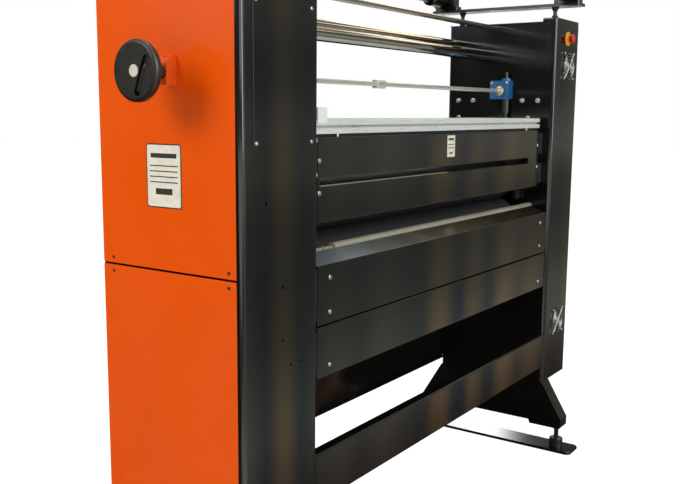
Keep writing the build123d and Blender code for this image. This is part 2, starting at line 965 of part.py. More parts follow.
def table_pieces():
    y0 = table_front()
    size = table_profile_size
    start = left_face + table_end_gap
    end = right_face - table_end_gap
    bed = block(start, end, y0 + size, y0 + table_depth - size, table_high - table_sheet, table_high)
    spacers = [rod_z(x, y0 + cover_flange / 2, cover_top, table_underside, cover_spacer_radius)
               for x in screws_x(cover_spacer_inset)]
    return table_profile(y0), bed, table_profile(y0 + table_depth - size), *spacers


def edge_guide():
    """Upright stop at the table's left end, hooked over its front edge."""
    y0 = table_front()
    top = table_high + edge_guide_height
    outline = [(y0 - edge_guide_overlap, table_high - edge_guide_lip), (y0 - edge_guide_overlap, top),
               (y0 - edge_guide_overlap + edge_guide_thickness, top),
               (y0 - edge_guide_overlap + edge_guide_thickness, table_high), (y0, table_high),
               (y0, table_high - edge_guide_lip)]
    x = left_face + edge_guide_from_frame
    guide = profile_x(outline, x, x + edge_guide_width)
    upright = guide.faces().sort_by(Axis.Z)[-1].edges().filter_by(Axis.Y)
    return fillet(upright, edge_guide_round)


# Rollers and bearings

def turned(points, y, z):
    """Solid of revolution about a line along X from (x, radius) points."""
    face = make_face(Polyline(*points, close=True))
    return Pos(0, y, z) * revolve(Plane.XZ * face, Axis.X)


def hollow_roller(y, z, radius, wall, journal, start, end, journal_start, journal_end, bore, head):
    """Tube with a head and its journal fitted into each end."""
    fitted = radius - wall - fit_gap
    tube = turned([(start, radius - wall), (start, radius), (end, radius), (end, radius - wall)],
                  front + y, z)
    pieces = [tube]
    for outer, edge, inner in ((journal_start, start, start + head), (journal_end, end, end - head)):
        outline = [(outer, bore), (outer, journal), (edge, journal), (edge, fitted),
                   (inner, fitted), (inner, bore)]
        pieces.append(turned(outline, front + y, z))
    return pieces


def journal_reach():
    """How far a carried journal goes out past a frame's inner face."""
    return plate_thickness + bearing_width + journal_overrun


def chrome_roller(y, z):
    return hollow_roller(y, z, chrome_roller_diameter / 2, chrome_roller_wall,
                         chrome_journal_radius, left_face + roller_end_gap,
                         right_face - roller_end_gap, out(LEFT, journal_reach()),
                         out(RIGHT, journal_reach()), chrome_bore_radius, nip_head_length)


def infeed_roller():
    """Thin roller on a long left journal that carries a collar."""
    y = front + infeed_roller_y
    z = infeed_roller_height
    body = rod_x(left_face + infeed_roller_left_gap, right_face - infeed_roller_right_gap, y, z,
                 infeed_roller_radius)
    body += rod_x(out(LEFT, journal_reach()), out(RIGHT, journal_reach()), y, z,
                  infeed_journal_radius)
    x = left_face + infeed_collar_from_left
    return body + rod_x(x, x + infeed_collar_width, y, z, infeed_collar_radius)


def guide_rod():
    reach = plate_thickness + bearing_width
    rod = rod_x(out(LEFT, reach), out(RIGHT, reach), front + guide_rod_y, guide_rod_height,
                guide_rod_radius)
    return chamfer(rod.edges().filter_by(GeomType.CIRCLE), rod_chamfer)


def nip_core_radius():
    return nip_roller_diameter / 2 - nip_sleeve_thickness


def upper_roller_core():
    reach = carriage_frame_gap + carriage_depth - upper_bearing_width - journal_overrun
    return hollow_roller(nip_y, upper_nip_height, nip_core_radius(), nip_core_wall,
                         upper_journal_radius, left_face + nip_face_inset,
                         right_face - nip_face_inset, out(LEFT, -reach), out(RIGHT, -reach),
                         journal_bore_radius, nip_head_length)


def lower_roller_core():
    pulley_end = belt_from_frame + belt_width + 2 * pulley_flange_width + journal_overrun
    return hollow_roller(nip_y, lower_nip_height, nip_core_radius(), nip_core_wall,
                         lower_journal_radius, left_face + nip_face_inset,
                         right_face - nip_face_inset, out(LEFT, pulley_end),
                         out(RIGHT, journal_reach()), journal_bore_radius, nip_head_length)


def nip_sleeve(z):
    return tube_x(left_face + nip_face_inset, right_face - nip_face_inset, front + nip_y, z,
                  nip_roller_diameter / 2, nip_core_radius() + fit_gap)


def flange_bearings():
    """Bearing ring and its housing on each frame plate's outer face, for every roller."""
    pieces = []
    shaft_place = (cross_shaft_y, cross_shaft_height, cross_shaft_radius)
    for side in SIDES:
        places = bearing_places() + ((shaft_place,) if side is LEFT else ())
        for y, z, journal in places:
            x0 = out(side, plate_thickness)
            x1 = out(side, plate_thickness + bearing_width)
            ring = journal + running_gap + bearing_wall
            pieces.append(tube_x(x0, x1, front + y, z, ring, journal + running_gap))
            pieces.append(tube_x(x0, x1, front + y, z, ring + bearing_housing_wall, ring + fit_gap))
    return pieces


# Nip lift

def carriage_limits(side):
    x0 = out(side, -carriage_frame_gap)
    x1 = out(side, -carriage_frame_gap - carriage_depth)
    return x0, x1


def lift_carriages():
    carriages = []
    ring = upper_journal_radius + running_gap + upper_bearing_wall
    for side in SIDES:
        x0, x1 = carriage_limits(side)
        y = front + nip_y
        body = block(x0, x1, y - carriage_width / 2, y + carriage_width / 2,
                     upper_nip_height - carriage_below_roller, carriage_top)
        body = chamfer(body.edges().filter_by(Axis.X), carriage_chamfer)
        pocket_end = x1 + side.out * upper_bearing_width
        body -= rod_x(x1, pocket_end, y, upper_nip_height, ring + fit_gap)
        body -= rod_x(x1, pocket_end + side.out * (journal_overrun + journal_relief), y,
                      upper_nip_height, upper_journal_radius + bearing_hole_gap)
        body -= rod_z(out(side, -spindle_from_frame), front + spindle_y,
                      carriage_top - spindle_seat, carriage_top, spindle_radius + fit_gap)
        carriages.append(body)
    return carriages


def upper_roller_bearings():
    rings = []
    outer = upper_journal_radius + running_gap + upper_bearing_wall
    for side in SIDES:
        x1 = carriage_limits(side)[1]
        rings.append(tube_x(x1, x1 + side.out * upper_bearing_width, front + nip_y,
                            upper_nip_height, outer, upper_journal_radius + running_gap))
    return rings


def carriage_guides():
    """Upright rails in front of and behind each carriage, and the spindle guards."""
    pieces = []
    jack_low = jack_centre_height - jack_height / 2
    for side in SIDES:
        x0 = out(side, 0)
        x1 = carriage_limits(side)[1]
        for facing in (-1, 1):
            edge = front + nip_y + facing * (carriage_width / 2 + slide_gap)
            pieces.append(block(x0, x1, edge, edge + facing * guide_width, guide_bottom, guide_top))
        x = out(side, -spindle_from_frame)
        guard = rod_z(x, front + spindle_y, jack_low - spindle_guard_length, jack_low,
                      spindle_guard_radius)
        bore = hole_z(x, front + spindle_y, jack_low - spindle_guard_length, jack_low,
                      spindle_radius + spindle_guard_gap)
        pieces.append(guard - bore)
    return pieces


def jack_housings():
    """Worm gear housings, each with a hub round the cross shaft and a neck on top."""
    jacks = []
    y = front + jack_y
    spindle_place = front + spindle_y
    low = jack_centre_height - jack_height / 2
    high = jack_centre_height + jack_height / 2
    for side in SIDES:
        x0 = out(side, 0)
        x1 = out(side, -jack_depth)
        body = block(x0, x1, y - jack_y_length / 2, y + jack_y_length / 2, low, high)
        body = fillet(body.edges().filter_by(Axis.X), jack_round)
        hub_end = x1 - side.out * jack_hub_length
        body += rod_x(x1, hub_end, front + cross_shaft_y, cross_shaft_height, jack_hub_radius)
        x = out(side, -spindle_from_frame)
        body += rod_z(x, spindle_place, high, high + jack_neck_height, jack_neck_radius)
        bore_end = x0 if side is LEFT else out(side, -jack_bore_inset)
        body -= rod_x(hub_end, bore_end, front + cross_shaft_y, cross_shaft_height,
                      cross_shaft_radius + running_gap)
        body -= hole_z(x, spindle_place, low, high + jack_neck_height,
                       spindle_radius + running_gap)
        jacks.append(body)
    return jacks


def jack_spindles():
    spindles = []
    for side in SIDES:
        spindle = rod_z(out(side, -spindle_from_frame), front + spindle_y,
                        carriage_top - spindle_seat, spindle_top, spindle_radius)
        spindles.append(chamfer(spindle.edges().filter_by(GeomType.CIRCLE), rod_chamfer))
    return spindles


def wheel_x(distance):
    """X of a point this far outwards from the left side covers."""
    return out(LEFT, drive_housing_width + distance)


def cross_shaft():
    """Shaft from the right jack to the handwheel, and the coupling that joins it."""
    y = front + cross_shaft_y
    z = cross_shaft_height
    left_end = wheel_x(wheel_offset + wheel_thickness - wheel_cap_seat - shaft_end_gap)
    right_end = out(RIGHT, -jack_bore_inset - journal_overrun)
    shaft = rod_x(left_end, right_end, y, z, cross_shaft_radius)
    x = left_face + coupling_from_left
    coupling = tube_x(x, x + coupling_length, y, z, coupling_radius, cross_shaft_radius + fit_gap)
    edges = coupling.edges().filter_by(GeomType.CIRCLE).group_by(SortBy.RADIUS)[-1]
    return shaft, chamfer(edges, coupling_chamfer)


def position_indicator():
    y = front + cross_shaft_y
    middle_height = cross_shaft_height + indicator_rise
    low = middle_height - indicator_height / 2
    high = middle_height + indicator_height / 2
    x0 = wheel_x(0)
    x1 = wheel_x(indicator_depth)
    outline = [(x0, low), (x0, high), (x1 + indicator_slope, high),
               (x1, high - indicator_slope), (x1, low)]
    face = Plane.XZ.offset(-y - indicator_width / 2) * make_face(Polyline(*outline, close=True))
    body = extrude(face, indicator_width)
    body = fillet(body.edges().filter_by(Axis.Y), indicator_round)
    middle = Pos(x1 + indicator_slope / 2, y, high - indicator_slope / 2) * Rot(0, -45, 0)
    window = Box(indicator_slope, indicator_window_width, 2 * indicator_window_inset)
    body -= middle * window
    return body - hole_x(x0, x1, y, cross_shaft_height, cross_shaft_radius + running_gap)


def handle_frame():
    """Plane on the handwheel's outer face: x along the pocket, z out of the face."""
    lean = math.radians(handle_lean)
    along = Vector(0, math.sin(lean), -math.cos(lean))
    side_way = Vector(0, -math.cos(lean), -math.sin(lean))
    middle = Vector(wheel_x(wheel_offset + wheel_thickness), front + cross_shaft_y,
                    cross_shaft_height) + side_way * handle_pocket_offset + along * handle_slide
    return Plane(origin=middle, x_dir=along, z_dir=(-1, 0, 0))


def handle_pivot():
    """Place of the pivot pin in the handle's frame: (along, depth)."""
    return handle_pin_from_end - handle_pocket_length / 2, -handle_pocket_depth / 2


def handwheel():
    y = front + cross_shaft_y
    z = cross_shaft_height
    back_x = wheel_x(wheel_offset)
    face_x = wheel_x(wheel_offset + wheel_thickness)
    disc = fillet(rod_x(back_x, face_x, y, z, wheel_radius).edges().filter_by(GeomType.CIRCLE),
                  wheel_round)
    hub = rod_x(wheel_x(indicator_depth + slide_gap), back_x, y, z, wheel_hub_radius)
    wheel = disc + hub
    wheel -= hole_x(wheel_x(indicator_depth), face_x, y, z, cross_shaft_radius + fit_gap)
    wheel -= rod_x(face_x + wheel_cap_seat, face_x - overcut, y, z, wheel_cap_radius + fit_gap)
    frame = handle_frame()
    pocket = Pos(0, 0, -handle_pocket_depth / 2) * Box(handle_pocket_length, handle_pocket_width,
                                                      handle_pocket_depth)
    pocket = fillet(pocket.edges().filter_by(Axis.Z), handle_pocket_round)
    wheel -= frame * pocket
    along, depth = handle_pivot()
    pin_hole = Pos(along, 0, depth) * Rot(90, 0, 0) * Cylinder(
        handle_pin_radius + running_gap,
        handle_pocket_width + 2 * (handle_pin_grip + handle_pin_play))
    return wheel - frame * pin_hole


def wheel_cap():
    y = front + cross_shaft_y
    face_x = wheel_x(wheel_offset + wheel_thickness)
    cap = rod_x(face_x + wheel_cap_seat, face_x - wheel_cap_rise, y, cross_shaft_height,
                wheel_cap_radius)
    return fillet(cap.edges().filter_by(GeomType.CIRCLE).sort_by(Axis.X)[0], wheel_cap_round)


def fold_handle():
    """Grip that lies in the handwheel's pocket, and the pin that it turns on."""
    frame = handle_frame()
    along, depth = handle_pivot()
    neck = handle_neck_radius
    outline = [(-neck, 0), (-neck, neck), (handle_neck_end, neck), (handle_shoulder, handle_radius),
               (handle_length, handle_radius), (handle_length, 0)]
    body = revolve(Plane.XZ * make_face(Polyline(*outline, close=True)), Axis.X)
    body = fillet(body.edges().filter_by(GeomType.CIRCLE).sort_by(Axis.X)[-1], handle_end_round)
    hole = Rot(90, 0, 0) * Cylinder(handle_pin_radius + fit_gap, 2 * neck + 2 * overcut)
    pin = Rot(90, 0, 0) * Cylinder(handle_pin_radius, handle_pocket_width + 2 * handle_pin_grip)
    place = frame * Pos(along, 0, depth)
    return place * (body - hole), place * pin


# Drive

def belt_loop(radius_low, radius_high, grow):
    """Outline of a belt round both pulleys, as one face of (y, z)."""
    y = front + nip_y
    low = (y, motor_height, radius_low + grow)
    high = (y, lower_nip_height, radius_high + grow)
    span = high[1] - low[1]
    lean = math.asin((high[2] - low[2]) / span)
    corners = []
    for side, (cy, cz, radius) in ((1, low), (1, high), (-1, high), (-1, low)):
        corners.append((cy + side * radius * math.cos(lean), cz - radius * math.sin(lean)))
    face = make_face(Polyline(*corners, close=True))
    for cy, cz, radius in (low, high):
        face += Pos(cy, cz) * Circle(radius)
    return face


def drive_belt():
    inner = belt_loop(motor_pulley_radius, roller_pulley_radius, belt_gap)
    outer = belt_loop(motor_pulley_radius, roller_pulley_radius, belt_gap + belt_thickness)
    outer_side = out(LEFT, belt_from_frame + belt_width)
    return extrude(Plane.YZ.offset(outer_side) * (outer - inner), belt_width)


def pulley(z, radius, bore):
    """Flanged pulley whose rim takes the belt with a small gap each side."""
    y = front + nip_y
    start = belt_from_frame - slide_gap
    end = belt_from_frame + belt_width + slide_gap
    wheel = rod_x(out(LEFT, start), out(LEFT, end), y, z, radius)
    for edge, step in ((start, -1), (end, 1)):
        wheel += rod_x(out(LEFT, edge), out(LEFT, edge + step * pulley_flange_width), y, z,
                       radius + pulley_flange)
    return wheel - hole_x(out(LEFT, start - pulley_flange_width),
                          out(LEFT, end + pulley_flange_width), y, z, bore)


def gearbox_start():
    return belt_from_frame + belt_width + pulley_flange_width + gearbox_gap


def motor_pulley():
    """Pulley on the gearbox's output shaft, and that shaft."""
    shaft = rod_x(out(LEFT, belt_from_frame - output_overrun),
                  out(LEFT, gearbox_start() + output_seat), front + nip_y, motor_height,
                  output_radius)
    return pulley(motor_height, motor_pulley_radius, output_radius + fit_gap), shaft


def drive_gearmotor():
    y = front + nip_y
    start = gearbox_start()
    end = start + gearbox_length
    half = gearbox_size / 2
    gearbox = block(out(LEFT, start), out(LEFT, end), y - half, y + half, motor_height - half,
                    motor_height + half)
    gearbox = chamfer(gearbox.edges().filter_by(Axis.X), gearbox_chamfer)
    gearbox -= rod_x(out(LEFT, start), out(LEFT, start + output_seat + output_end_gap), y,
                     motor_height, output_radius + running_gap)
    motor = rod_x(out(LEFT, end), out(LEFT, motor_end), y, motor_height, motor_radius)
    groove_start = end + motor_fin_margin
    groove_end = motor_end - motor_fin_margin
    for index in range(motor_fin_count):
        angle = 360 * index / motor_fin_count
        groove = block(out(LEFT, groove_start), out(LEFT, groove_end), -motor_groove_width / 2,
                       motor_groove_width / 2, motor_radius - motor_fin_depth,
                       motor_radius + overcut)
        motor -= Pos(0, y, motor_height) * Rot(angle, 0, 0) * groove
    return gearbox, motor


def motor_shelf():
    y = front + nip_y
    top = motor_height - gearbox_size / 2
    half = motor_shelf_length / 2
    shelf = block(out(LEFT, plate_thickness), out(LEFT, motor_end), y - half, y + half,
                  top - motor_shelf_thickness, top)
    for edge in (y - half, y + half - motor_shelf_thickness):
        rib = [(out(LEFT, plate_thickness), top - motor_shelf_thickness),
               (out(LEFT, motor_end), top - motor_shelf_thickness),
               (out(LEFT, plate_thickness), top - gearbox_size)]
        face = Plane.XZ.offset(-edge - motor_shelf_thickness) * make_face(Polyline(*rib, close=True))
        shelf += extrude(face, motor_shelf_thickness)
    return shelf


# Emergency stop

def estop_levels():
    """Y of the plate's face, the collar's face and the underside of the released head."""
    plate = front - estop_plate_thickness
    collar = plate - estop_collar_length
    return plate, collar, collar - estop_head_gap


def estop_base():
    x = out(RIGHT, estop_x)
    z = estop_height
    plate, collar, under = estop_levels()
    base = rod_y(x, plate, front, z, estop_plate_radius)
    base = fillet(base.edges().filter_by(GeomType.CIRCLE).sort_by(Axis.Y)[0], estop_plate_round)
    base += rod_y(x, collar, plate, z, estop_collar_radius)
    base += rod_y(x, front, front + estop_barrel_length, z, estop_barrel_radius)
    base += block(x - estop_block_width / 2, x + estop_block_width / 2,
                  front + estop_barrel_length, front + estop_barrel_length + estop_block_depth,
                  z - estop_block_height / 2, z + estop_block_height / 2)
    bore_end = under + estop_stem_length + estop_head_gap + estop_stem_gap
    return base - rod_y(x, collar, bore_end, z, estop_stem_radius + running_gap)


def estop_button():
    x = out(RIGHT, estop_x)
    under = estop_levels()[-1]
    head_face = under - estop_head_length
    outline = [(0, head_face), (estop_head_radius, head_face),
               (estop_head_radius - estop_head_taper, under), (estop_stem_radius, under),
               (estop_stem_radius, under + estop_stem_length), (0, under + estop_stem_length)]
    head = revolve(make_face(Polyline(*outline, close=True)), Axis.Y)
    rim = head.edges().filter_by(GeomType.CIRCLE).sort_by(Axis.Y)[0]
    return Pos(x, 0, estop_height) * fillet(rim, estop_round)


# Cooling fans

def fan_housing(x, z):
    y0 = front + sheet
    y1 = y0 + fan_depth
    half = fan_size / 2
    body = block(x - half, x + half, y0, y1, z - half, z + half)
    body = fillet(body.edges().filter_by(Axis.Y), fan_round)
    body -= hole_y(x, y0, y1, z, fan_bore_radius)
    stator = y1 - fan_stator_thickness
    reach = half - fan_strut_inset
    for angle in (0, 90):
        strut = block(-reach, reach, stator, y1, -fan_strut / 2, fan_strut / 2)
        body += Pos(x, 0, z) * Rot(0, angle, 0) * strut
    body += rod_y(x, stator, y1, z, fan_hub_radius)
    body += rod_y(x, y1 - fan_hub_length, y1, z, fan_pin_radius)
    for corner_x, corner_z in fan_corners(x, z):
        body -= rod_y(corner_x, y0, y0 + fan_depth / 2, corner_z, screw_radius + fit_gap)
    return body


def fan_impeller(x, z):
    y1 = front + sheet + fan_depth - fan_stator_thickness - fan_rotor_gap
    y0 = y1 - fan_hub_length
    hub = fillet(rod_y(0, y0, y1, 0, fan_hub_radius).edges().filter_by(GeomType.CIRCLE)
                 .sort_by(Axis.Y)[0], fan_hub_round)
    middle = (y0 + y1) / 2
    length = fan_blade_tip - fan_hub_radius + fan_blade_root
    for index in range(fan_blade_count):
        blade = Pos(fan_blade_tip - length / 2, middle, 0) * Rot(fan_blade_pitch, 0, 0) * Box(
            length, fan_blade_thickness, fan_blade_width)
        hub += Rot(0, 360 * index / fan_blade_count, 0) * blade
    hub -= rod_y(0, y0 + fan_hub_wall, y1, 0, fan_pin_radius + running_gap)
    return Pos(x, 0, z) * hub


def guard_leg_y():
    return front - guard_standoff + guard_lap * guard_wire


def fan_guard(x, z):
    """Wire finger guard: rings on two crossed legs that end in screw eyes."""
    ring_y = front - guard_standoff
    leg_y = guard_leg_y()
    guard = None
    for radius in guard_rings:
        ring = Pos(0, ring_y, 0) * Rot(90, 0, 0) * Torus(radius, guard_wire)
        guard = ring if guard is None else guard + ring
    corner = fan_hole_pitch / math.sqrt(2)
    for angle in (45, 135):
        leg = Rot(0, angle, 0) * rod_x(-corner, corner, leg_y, 0, guard_wire)
        guard += leg
    for index in range(4):
        turn = Rot(0, 45 + 90 * index, 0)
        guard += turn * rod_y(corner, leg_y - guard_wire, front, 0, guard_eye_radius)
        guard -= turn * hole_y(corner, leg_y - guard_wire, front, 0, screw_radius + fit_gap)
    return Pos(x, 0, z) * guard


# Cabinet gear

def electrical_gear():
    side = RIGHT
    plate_face = out(side, gear_plate_from_frame + gear_plate_sheet)
    y0 = front + gear_plate_margin
    y1 = back - gear_plate_margin
    pieces = [block(out(side, gear_plate_from_frame), plate_face, y0, y1, gear_plate_low,
                    gear_plate_high)]
    for y in (y0 + standoff_inset, y1 - standoff_inset):
        for z in (gear_plate_low + standoff_inset, gear_plate_high - standoff_inset):
            pieces.append(rod_x(out(side, plate_thickness), out(side, gear_plate_from_frame), y, z,
                                standoff_radius))
    middle = (y0 + y1) / 2
    depth, width, height = inverter_size
    base = gear_plate_low + standoff_inset
    pieces.append(block(plate_face, plate_face + depth, middle - gear_spacing - width,
                        middle - gear_spacing, base, base + height))
    depth, width, height = supply_size
    pieces.append(block(plate_face, plate_face + depth, middle + gear_spacing,
                        middle + gear_spacing + width, base, base + height))
    row = module_pitch * module_count
    for level in (1, 2):
        z = base + inverter_size[2] + level * rail_pitch
        rail = block(plate_face, plate_face + rail_depth, middle - row / 2, middle + row / 2,
                     z - rail_height / 2, z + rail_height / 2)
        pieces.append(rail)
        for index in range(module_count):
            y = middle - row / 2 + module_pitch * (index + 0.5)
            pieces.append(block(plate_face + rail_depth, plate_face + rail_depth + module_depth,
                                y - module_width / 2, y + module_width / 2,
                                z - module_height / 2, z + module_height / 2))
    return pieces


def cable_gland():
    """Gland in the cabinet's rear wall that the supply cable enters through."""
    x = out(RIGHT, gland_x)
    nut = extrude(Plane.XZ.offset(-back) * Pos(x, gland_height)
                  * RegularPolygon(gland_nut_radius, 6), -gland_nut_length)
    face = back + gland_nut_length
    dome = rod_y(x, face, face + gland_dome_length, gland_height, gland_dome_radius)
    dome = fillet(dome.edges().filter_by(GeomType.CIRCLE).sort_by(Axis.Y)[-1], gland_round)
    thread = rod_y(x, back - gland_thread_length, back, gland_height, gland_thread_radius)
    bore = hole_y(x, back - gland_thread_length, face + gland_dome_length, gland_height,
                  gland_bore_radius)
    return nut + dome + thread - bore


def rear_panels():
    left = housing_wall(LEFT, 1)
    right = housing_wall(RIGHT, 1)
    right -= hole_y(out(RIGHT, gland_x), back - sheet, back, gland_height,
                    gland_thread_radius + fit_gap)
    return left, right


# Top bars and supply shafts

def top_bars():
    bars = []
    for side in SIDES:
        middle = out(side, frame_thickness / 2)
        bar = block(middle - bar_width / 2, middle + bar_width / 2, front - bar_overhang,
                    back + bar_overhang, bar_underside, bar_top)
        bars.append(chamfer(bar.edges().filter_by(Axis.Z), bar_chamfer))
    return bars


def bar_posts():
    posts = []
    for side in SIDES:
        x = out(side, frame_thickness / 2)
        for y, base in ((bar_post_front, lid_top), (housing_depth - bar_post_rear_margin, housing_top + lid_thickness)):
            post = rod_z(x, front + y, base, bar_underside, bar_post_radius)
            nut = extrude(Plane.XY.offset(base) * Pos(x, front + y)
                          * RegularPolygon(bar_post_nut_radius, 6), bar_post_nut_height)
            cone = Pos(x, front + y, bar_underside - bar_post_cone_height / 2) * Cone(
                bar_post_radius, bar_post_cone_radius, bar_post_cone_height)
            posts.append(post + nut + cone)
    return posts


def shaft_height():
    return bar_top + supply_shaft_height


def pillow_blocks():
    blocks = []
    for side in SIDES:
        x = out(side, frame_thickness / 2)
        half = pillow_width / 2
        for y in (supply_front, supply_rear):
            base = block(x - half, x + half, y - pillow_length / 2, y + pillow_length / 2, bar_top,
                         bar_top + pillow_base_height)
            base = fillet(base.edges().filter_by(Axis.Z), pillow_round)
            neck = block(x - half, x + half, y - pillow_ring_radius, y + pillow_ring_radius,
                         bar_top, shaft_height())
            ring = rod_x(x - half, x + half, y, shaft_height(), pillow_ring_radius)
            bore = hole_x(x - half, x + half, y, shaft_height(), supply_shaft_radius + running_gap)
            blocks.append(base + neck + ring - bore)
    return blocks


def supply_shaft(y):
    """Supply shaft with a flanged core chuck near each frame."""
    z = shaft_height()
    reach = frame_thickness / 2 + pillow_width / 2 + supply_shaft_overrun
    pieces = [rod_x(out(LEFT, reach), out(RIGHT, reach), y, z, supply_shaft_radius)]
    for side in SIDES:
        x0 = out(side, -chuck_inset)
        x1 = x0 - side.out * chuck_flange_width
        x2 = x1 - side.out * chuck_length
        nose = x2 - side.out * chuck_nose
        bore = supply_shaft_radius + fit_gap
        outline = [(x0, bore), (x0, chuck_flange_radius), (x1, chuck_flange_radius),
                   (x1, chuck_radius), (x2, chuck_radius),
                   (nose, chuck_radius - chuck_nose), (nose, bore)]
        pieces.append(turned(outline, y, z))
    return pieces


# Fasteners

def socket_screw_y(x, face, z, reach, head_radius):
    """Cap screw driven along +Y with its head on the plane Y = face."""
    head = rod_y(x, face - screw_head_height, face, z, head_radius)
    head = fillet(head.edges().filter_by(GeomType.CIRCLE).sort_by(Axis.Y)[0], screw_head_round)
    screw = head + rod_y(x, face, face + reach, z, screw_radius)
    socket = extrude(Plane.XZ.offset(-face + screw_head_height) * Pos(x, z)
                     * RegularPolygon(screw_socket_radius, 6), -screw_socket_depth)
    return screw - socket


def panel_screws():
    screws = []
    for x in screws_x(cover_screw_from_frame):
        for z in cover_screw_heights:
            screws.append(socket_screw_y(x, front + cover_setback, z, sheet + bracket_sheet,
                                         panel_screw_head_radius))
    for x in screws_x(panel_screw_from_frame):
        for z in infeed_screw_heights + lower_screw_heights:
            screws.append(socket_screw_y(x, panel_plane(), z, sheet + bracket_sheet,
                                         panel_screw_head_radius))
    for x, z in access_screw_places():
        screws.append(socket_screw_y(x, front - sheet, z, 2 * sheet, screw_head_radius))
    for x, z in fan_centres():
        for corner_x, corner_z in fan_corners(x, z):
            eye = guard_leg_y() - guard_wire
            screws.append(socket_screw_y(corner_x, eye, corner_z,
                                         front - eye + sheet + screw_reach, screw_head_radius))
    for side in SIDES:
        for y, z in cover_screw_places(side):
            face = out(side, side.width)
            head = rod_x(face, face + side.out * cover_screw_head, y, z, cover_screw_head_radius)
            shank = rod_x(face, out(side, side.width - 2 * sheet), y, z, screw_radius)
            screws.append(head + shank)
    return screws


def frame_bolts():
    bolts = []
    for side in SIDES:
        for offset, rise in frame_bolt_offsets:
            y = front + offset
            z = table_high + rise
            seat = out(side, -washer_height)
            face = out(side, -washer_height - bolt_head_height)
            bolt = rod_x(out(side, 0), out(side, plate_thickness), y, z, bolt_radius)
            bolt += rod_x(out(side, 0), seat, y, z, washer_radius)
            head = rod_x(seat, face, y, z, bolt_head_radius)
            bolt += fillet(head.edges().filter_by(GeomType.CIRCLE), bolt_round)
            bolts.append(bolt - rod_x(face, face + side.out * socket_depth, y, z, socket_radius))
    return bolts


# Write every node

def main():
    save("left_side_frame", side_frame(LEFT))
    save("right_side_frame", side_frame(RIGHT))
    save("frame_posts", *frame_posts())
    save("foot_bars", *foot_bars())
    save("levelling_feet", *levelling_screws(), *levelling_pads())
    save("left_front_panel", left_front_panel())
    save("right_front_panel", right_front_panel())
    save("housing_rear_panels", *rear_panels())
    lower, upper = side_covers(LEFT)
    save("left_lower_cover", lower)
    save("left_upper_cover", upper)
    save("right_side_covers", *side_covers(RIGHT))
    save("housing_end_plates", *housing_end_plates())
    save("access_cover", access_cover())
    save("nip_front_cover", nip_front_cover())
    save("infeed_panel", infeed_panel())
    save("lower_front_panel", lower_front_panel())
    save("lower_front_beam", lower_front_beam())
    save("rear_cover_panel", rear_cover_panel())
    save("inner_brackets", *inner_brackets())
    save("table_profiles", *table_pieces())
    save("edge_guide", edge_guide())
    save("main_chrome_roller", *chrome_roller(main_roller_y, main_roller_height))
    save("rear_chrome_roller", *chrome_roller(rear_roller_y, rear_roller_height))
    save("infeed_roller", infeed_roller())
    save("guide_rod", guide_rod())
    save("upper_roller_core", *upper_roller_core())
    save("upper_roller_sleeve", nip_sleeve(upper_nip_height))
    save("lower_roller_core", *lower_roller_core())
    save("lower_roller_sleeve", nip_sleeve(lower_nip_height))
    save("flange_bearings", *flange_bearings())
    save("upper_roller_bearings", *upper_roller_bearings())
    save("lift_carriages", *lift_carriages())
    save("carriage_guides", *carriage_guides())
    save("jack_housings", *jack_housings())
    save("jack_spindles", *jack_spindles())
    shaft, coupling = cross_shaft()
    save("cross_shaft", shaft)
    save("shaft_coupling", coupling)
    save("position_indicator", position_indicator())
    save("handwheel", handwheel())
    save("wheel_cap", wheel_cap())
    save("fold_handle", *fold_handle())
    save("drive_gearmotor", *drive_gearmotor())
    save("motor_pulley", *motor_pulley())
    save("roller_pulley", pulley(lower_nip_height, roller_pulley_radius,
                                 lower_journal_radius + fit_gap))
    save("drive_belt", drive_belt())
    save("estop_base", estop_base())
    save("estop_button", estop_button())
    upper_fan, lower_fan = fan_centres()
    save("fan_housings", fan_housing(*upper_fan), fan_housing(*lower_fan))
    save("fan_guards", fan_guard(*upper_fan), fan_guard(*lower_fan))
    save("upper_impeller", fan_impeller(*upper_fan))
    save("lower_impeller", fan_impeller(*lower_fan))
    save("electrical_gear", *electrical_gear())
    save("cable_gland", cable_gland())
    save("top_bars", *top_bars())
    save("bar_posts", *bar_posts())
    save("pillow_blocks", *pillow_blocks())
    save("unwind_shaft", *supply_shaft(supply_front))
    save("rewind_shaft", *supply_shaft(supply_rear))
    save("panel_screws", *panel_screws())
    save("frame_bolts", *frame_bolts())


main()
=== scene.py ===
import bmesh
import bpy
import json
import math
from mathutils import Matrix, Vector


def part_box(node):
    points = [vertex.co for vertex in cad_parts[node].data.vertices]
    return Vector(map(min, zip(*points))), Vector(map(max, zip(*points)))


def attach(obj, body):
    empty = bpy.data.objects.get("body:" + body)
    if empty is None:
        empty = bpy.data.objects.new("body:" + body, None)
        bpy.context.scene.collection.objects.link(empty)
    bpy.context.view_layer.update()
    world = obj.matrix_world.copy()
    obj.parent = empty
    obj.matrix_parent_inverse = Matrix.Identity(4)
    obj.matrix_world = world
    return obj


# Wide roll laminator: finishes, small fittings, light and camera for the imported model.
# Everything is in metres, in the model's own frame.

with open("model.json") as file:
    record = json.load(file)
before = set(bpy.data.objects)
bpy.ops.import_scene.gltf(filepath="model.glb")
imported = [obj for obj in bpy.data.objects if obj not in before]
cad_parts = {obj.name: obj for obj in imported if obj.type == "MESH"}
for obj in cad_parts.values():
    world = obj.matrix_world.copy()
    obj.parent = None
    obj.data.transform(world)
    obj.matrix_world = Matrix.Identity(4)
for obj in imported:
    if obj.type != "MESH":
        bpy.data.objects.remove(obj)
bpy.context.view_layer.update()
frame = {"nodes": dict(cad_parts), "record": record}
nodes = frame["nodes"]

# Colours as the eye reads them: a straight toe, and a power curve above it

TOE_END = 0.04045
TOE_SLOPE = 12.92
CURVE_OFFSET = 0.055
CURVE_POWER = 2.4


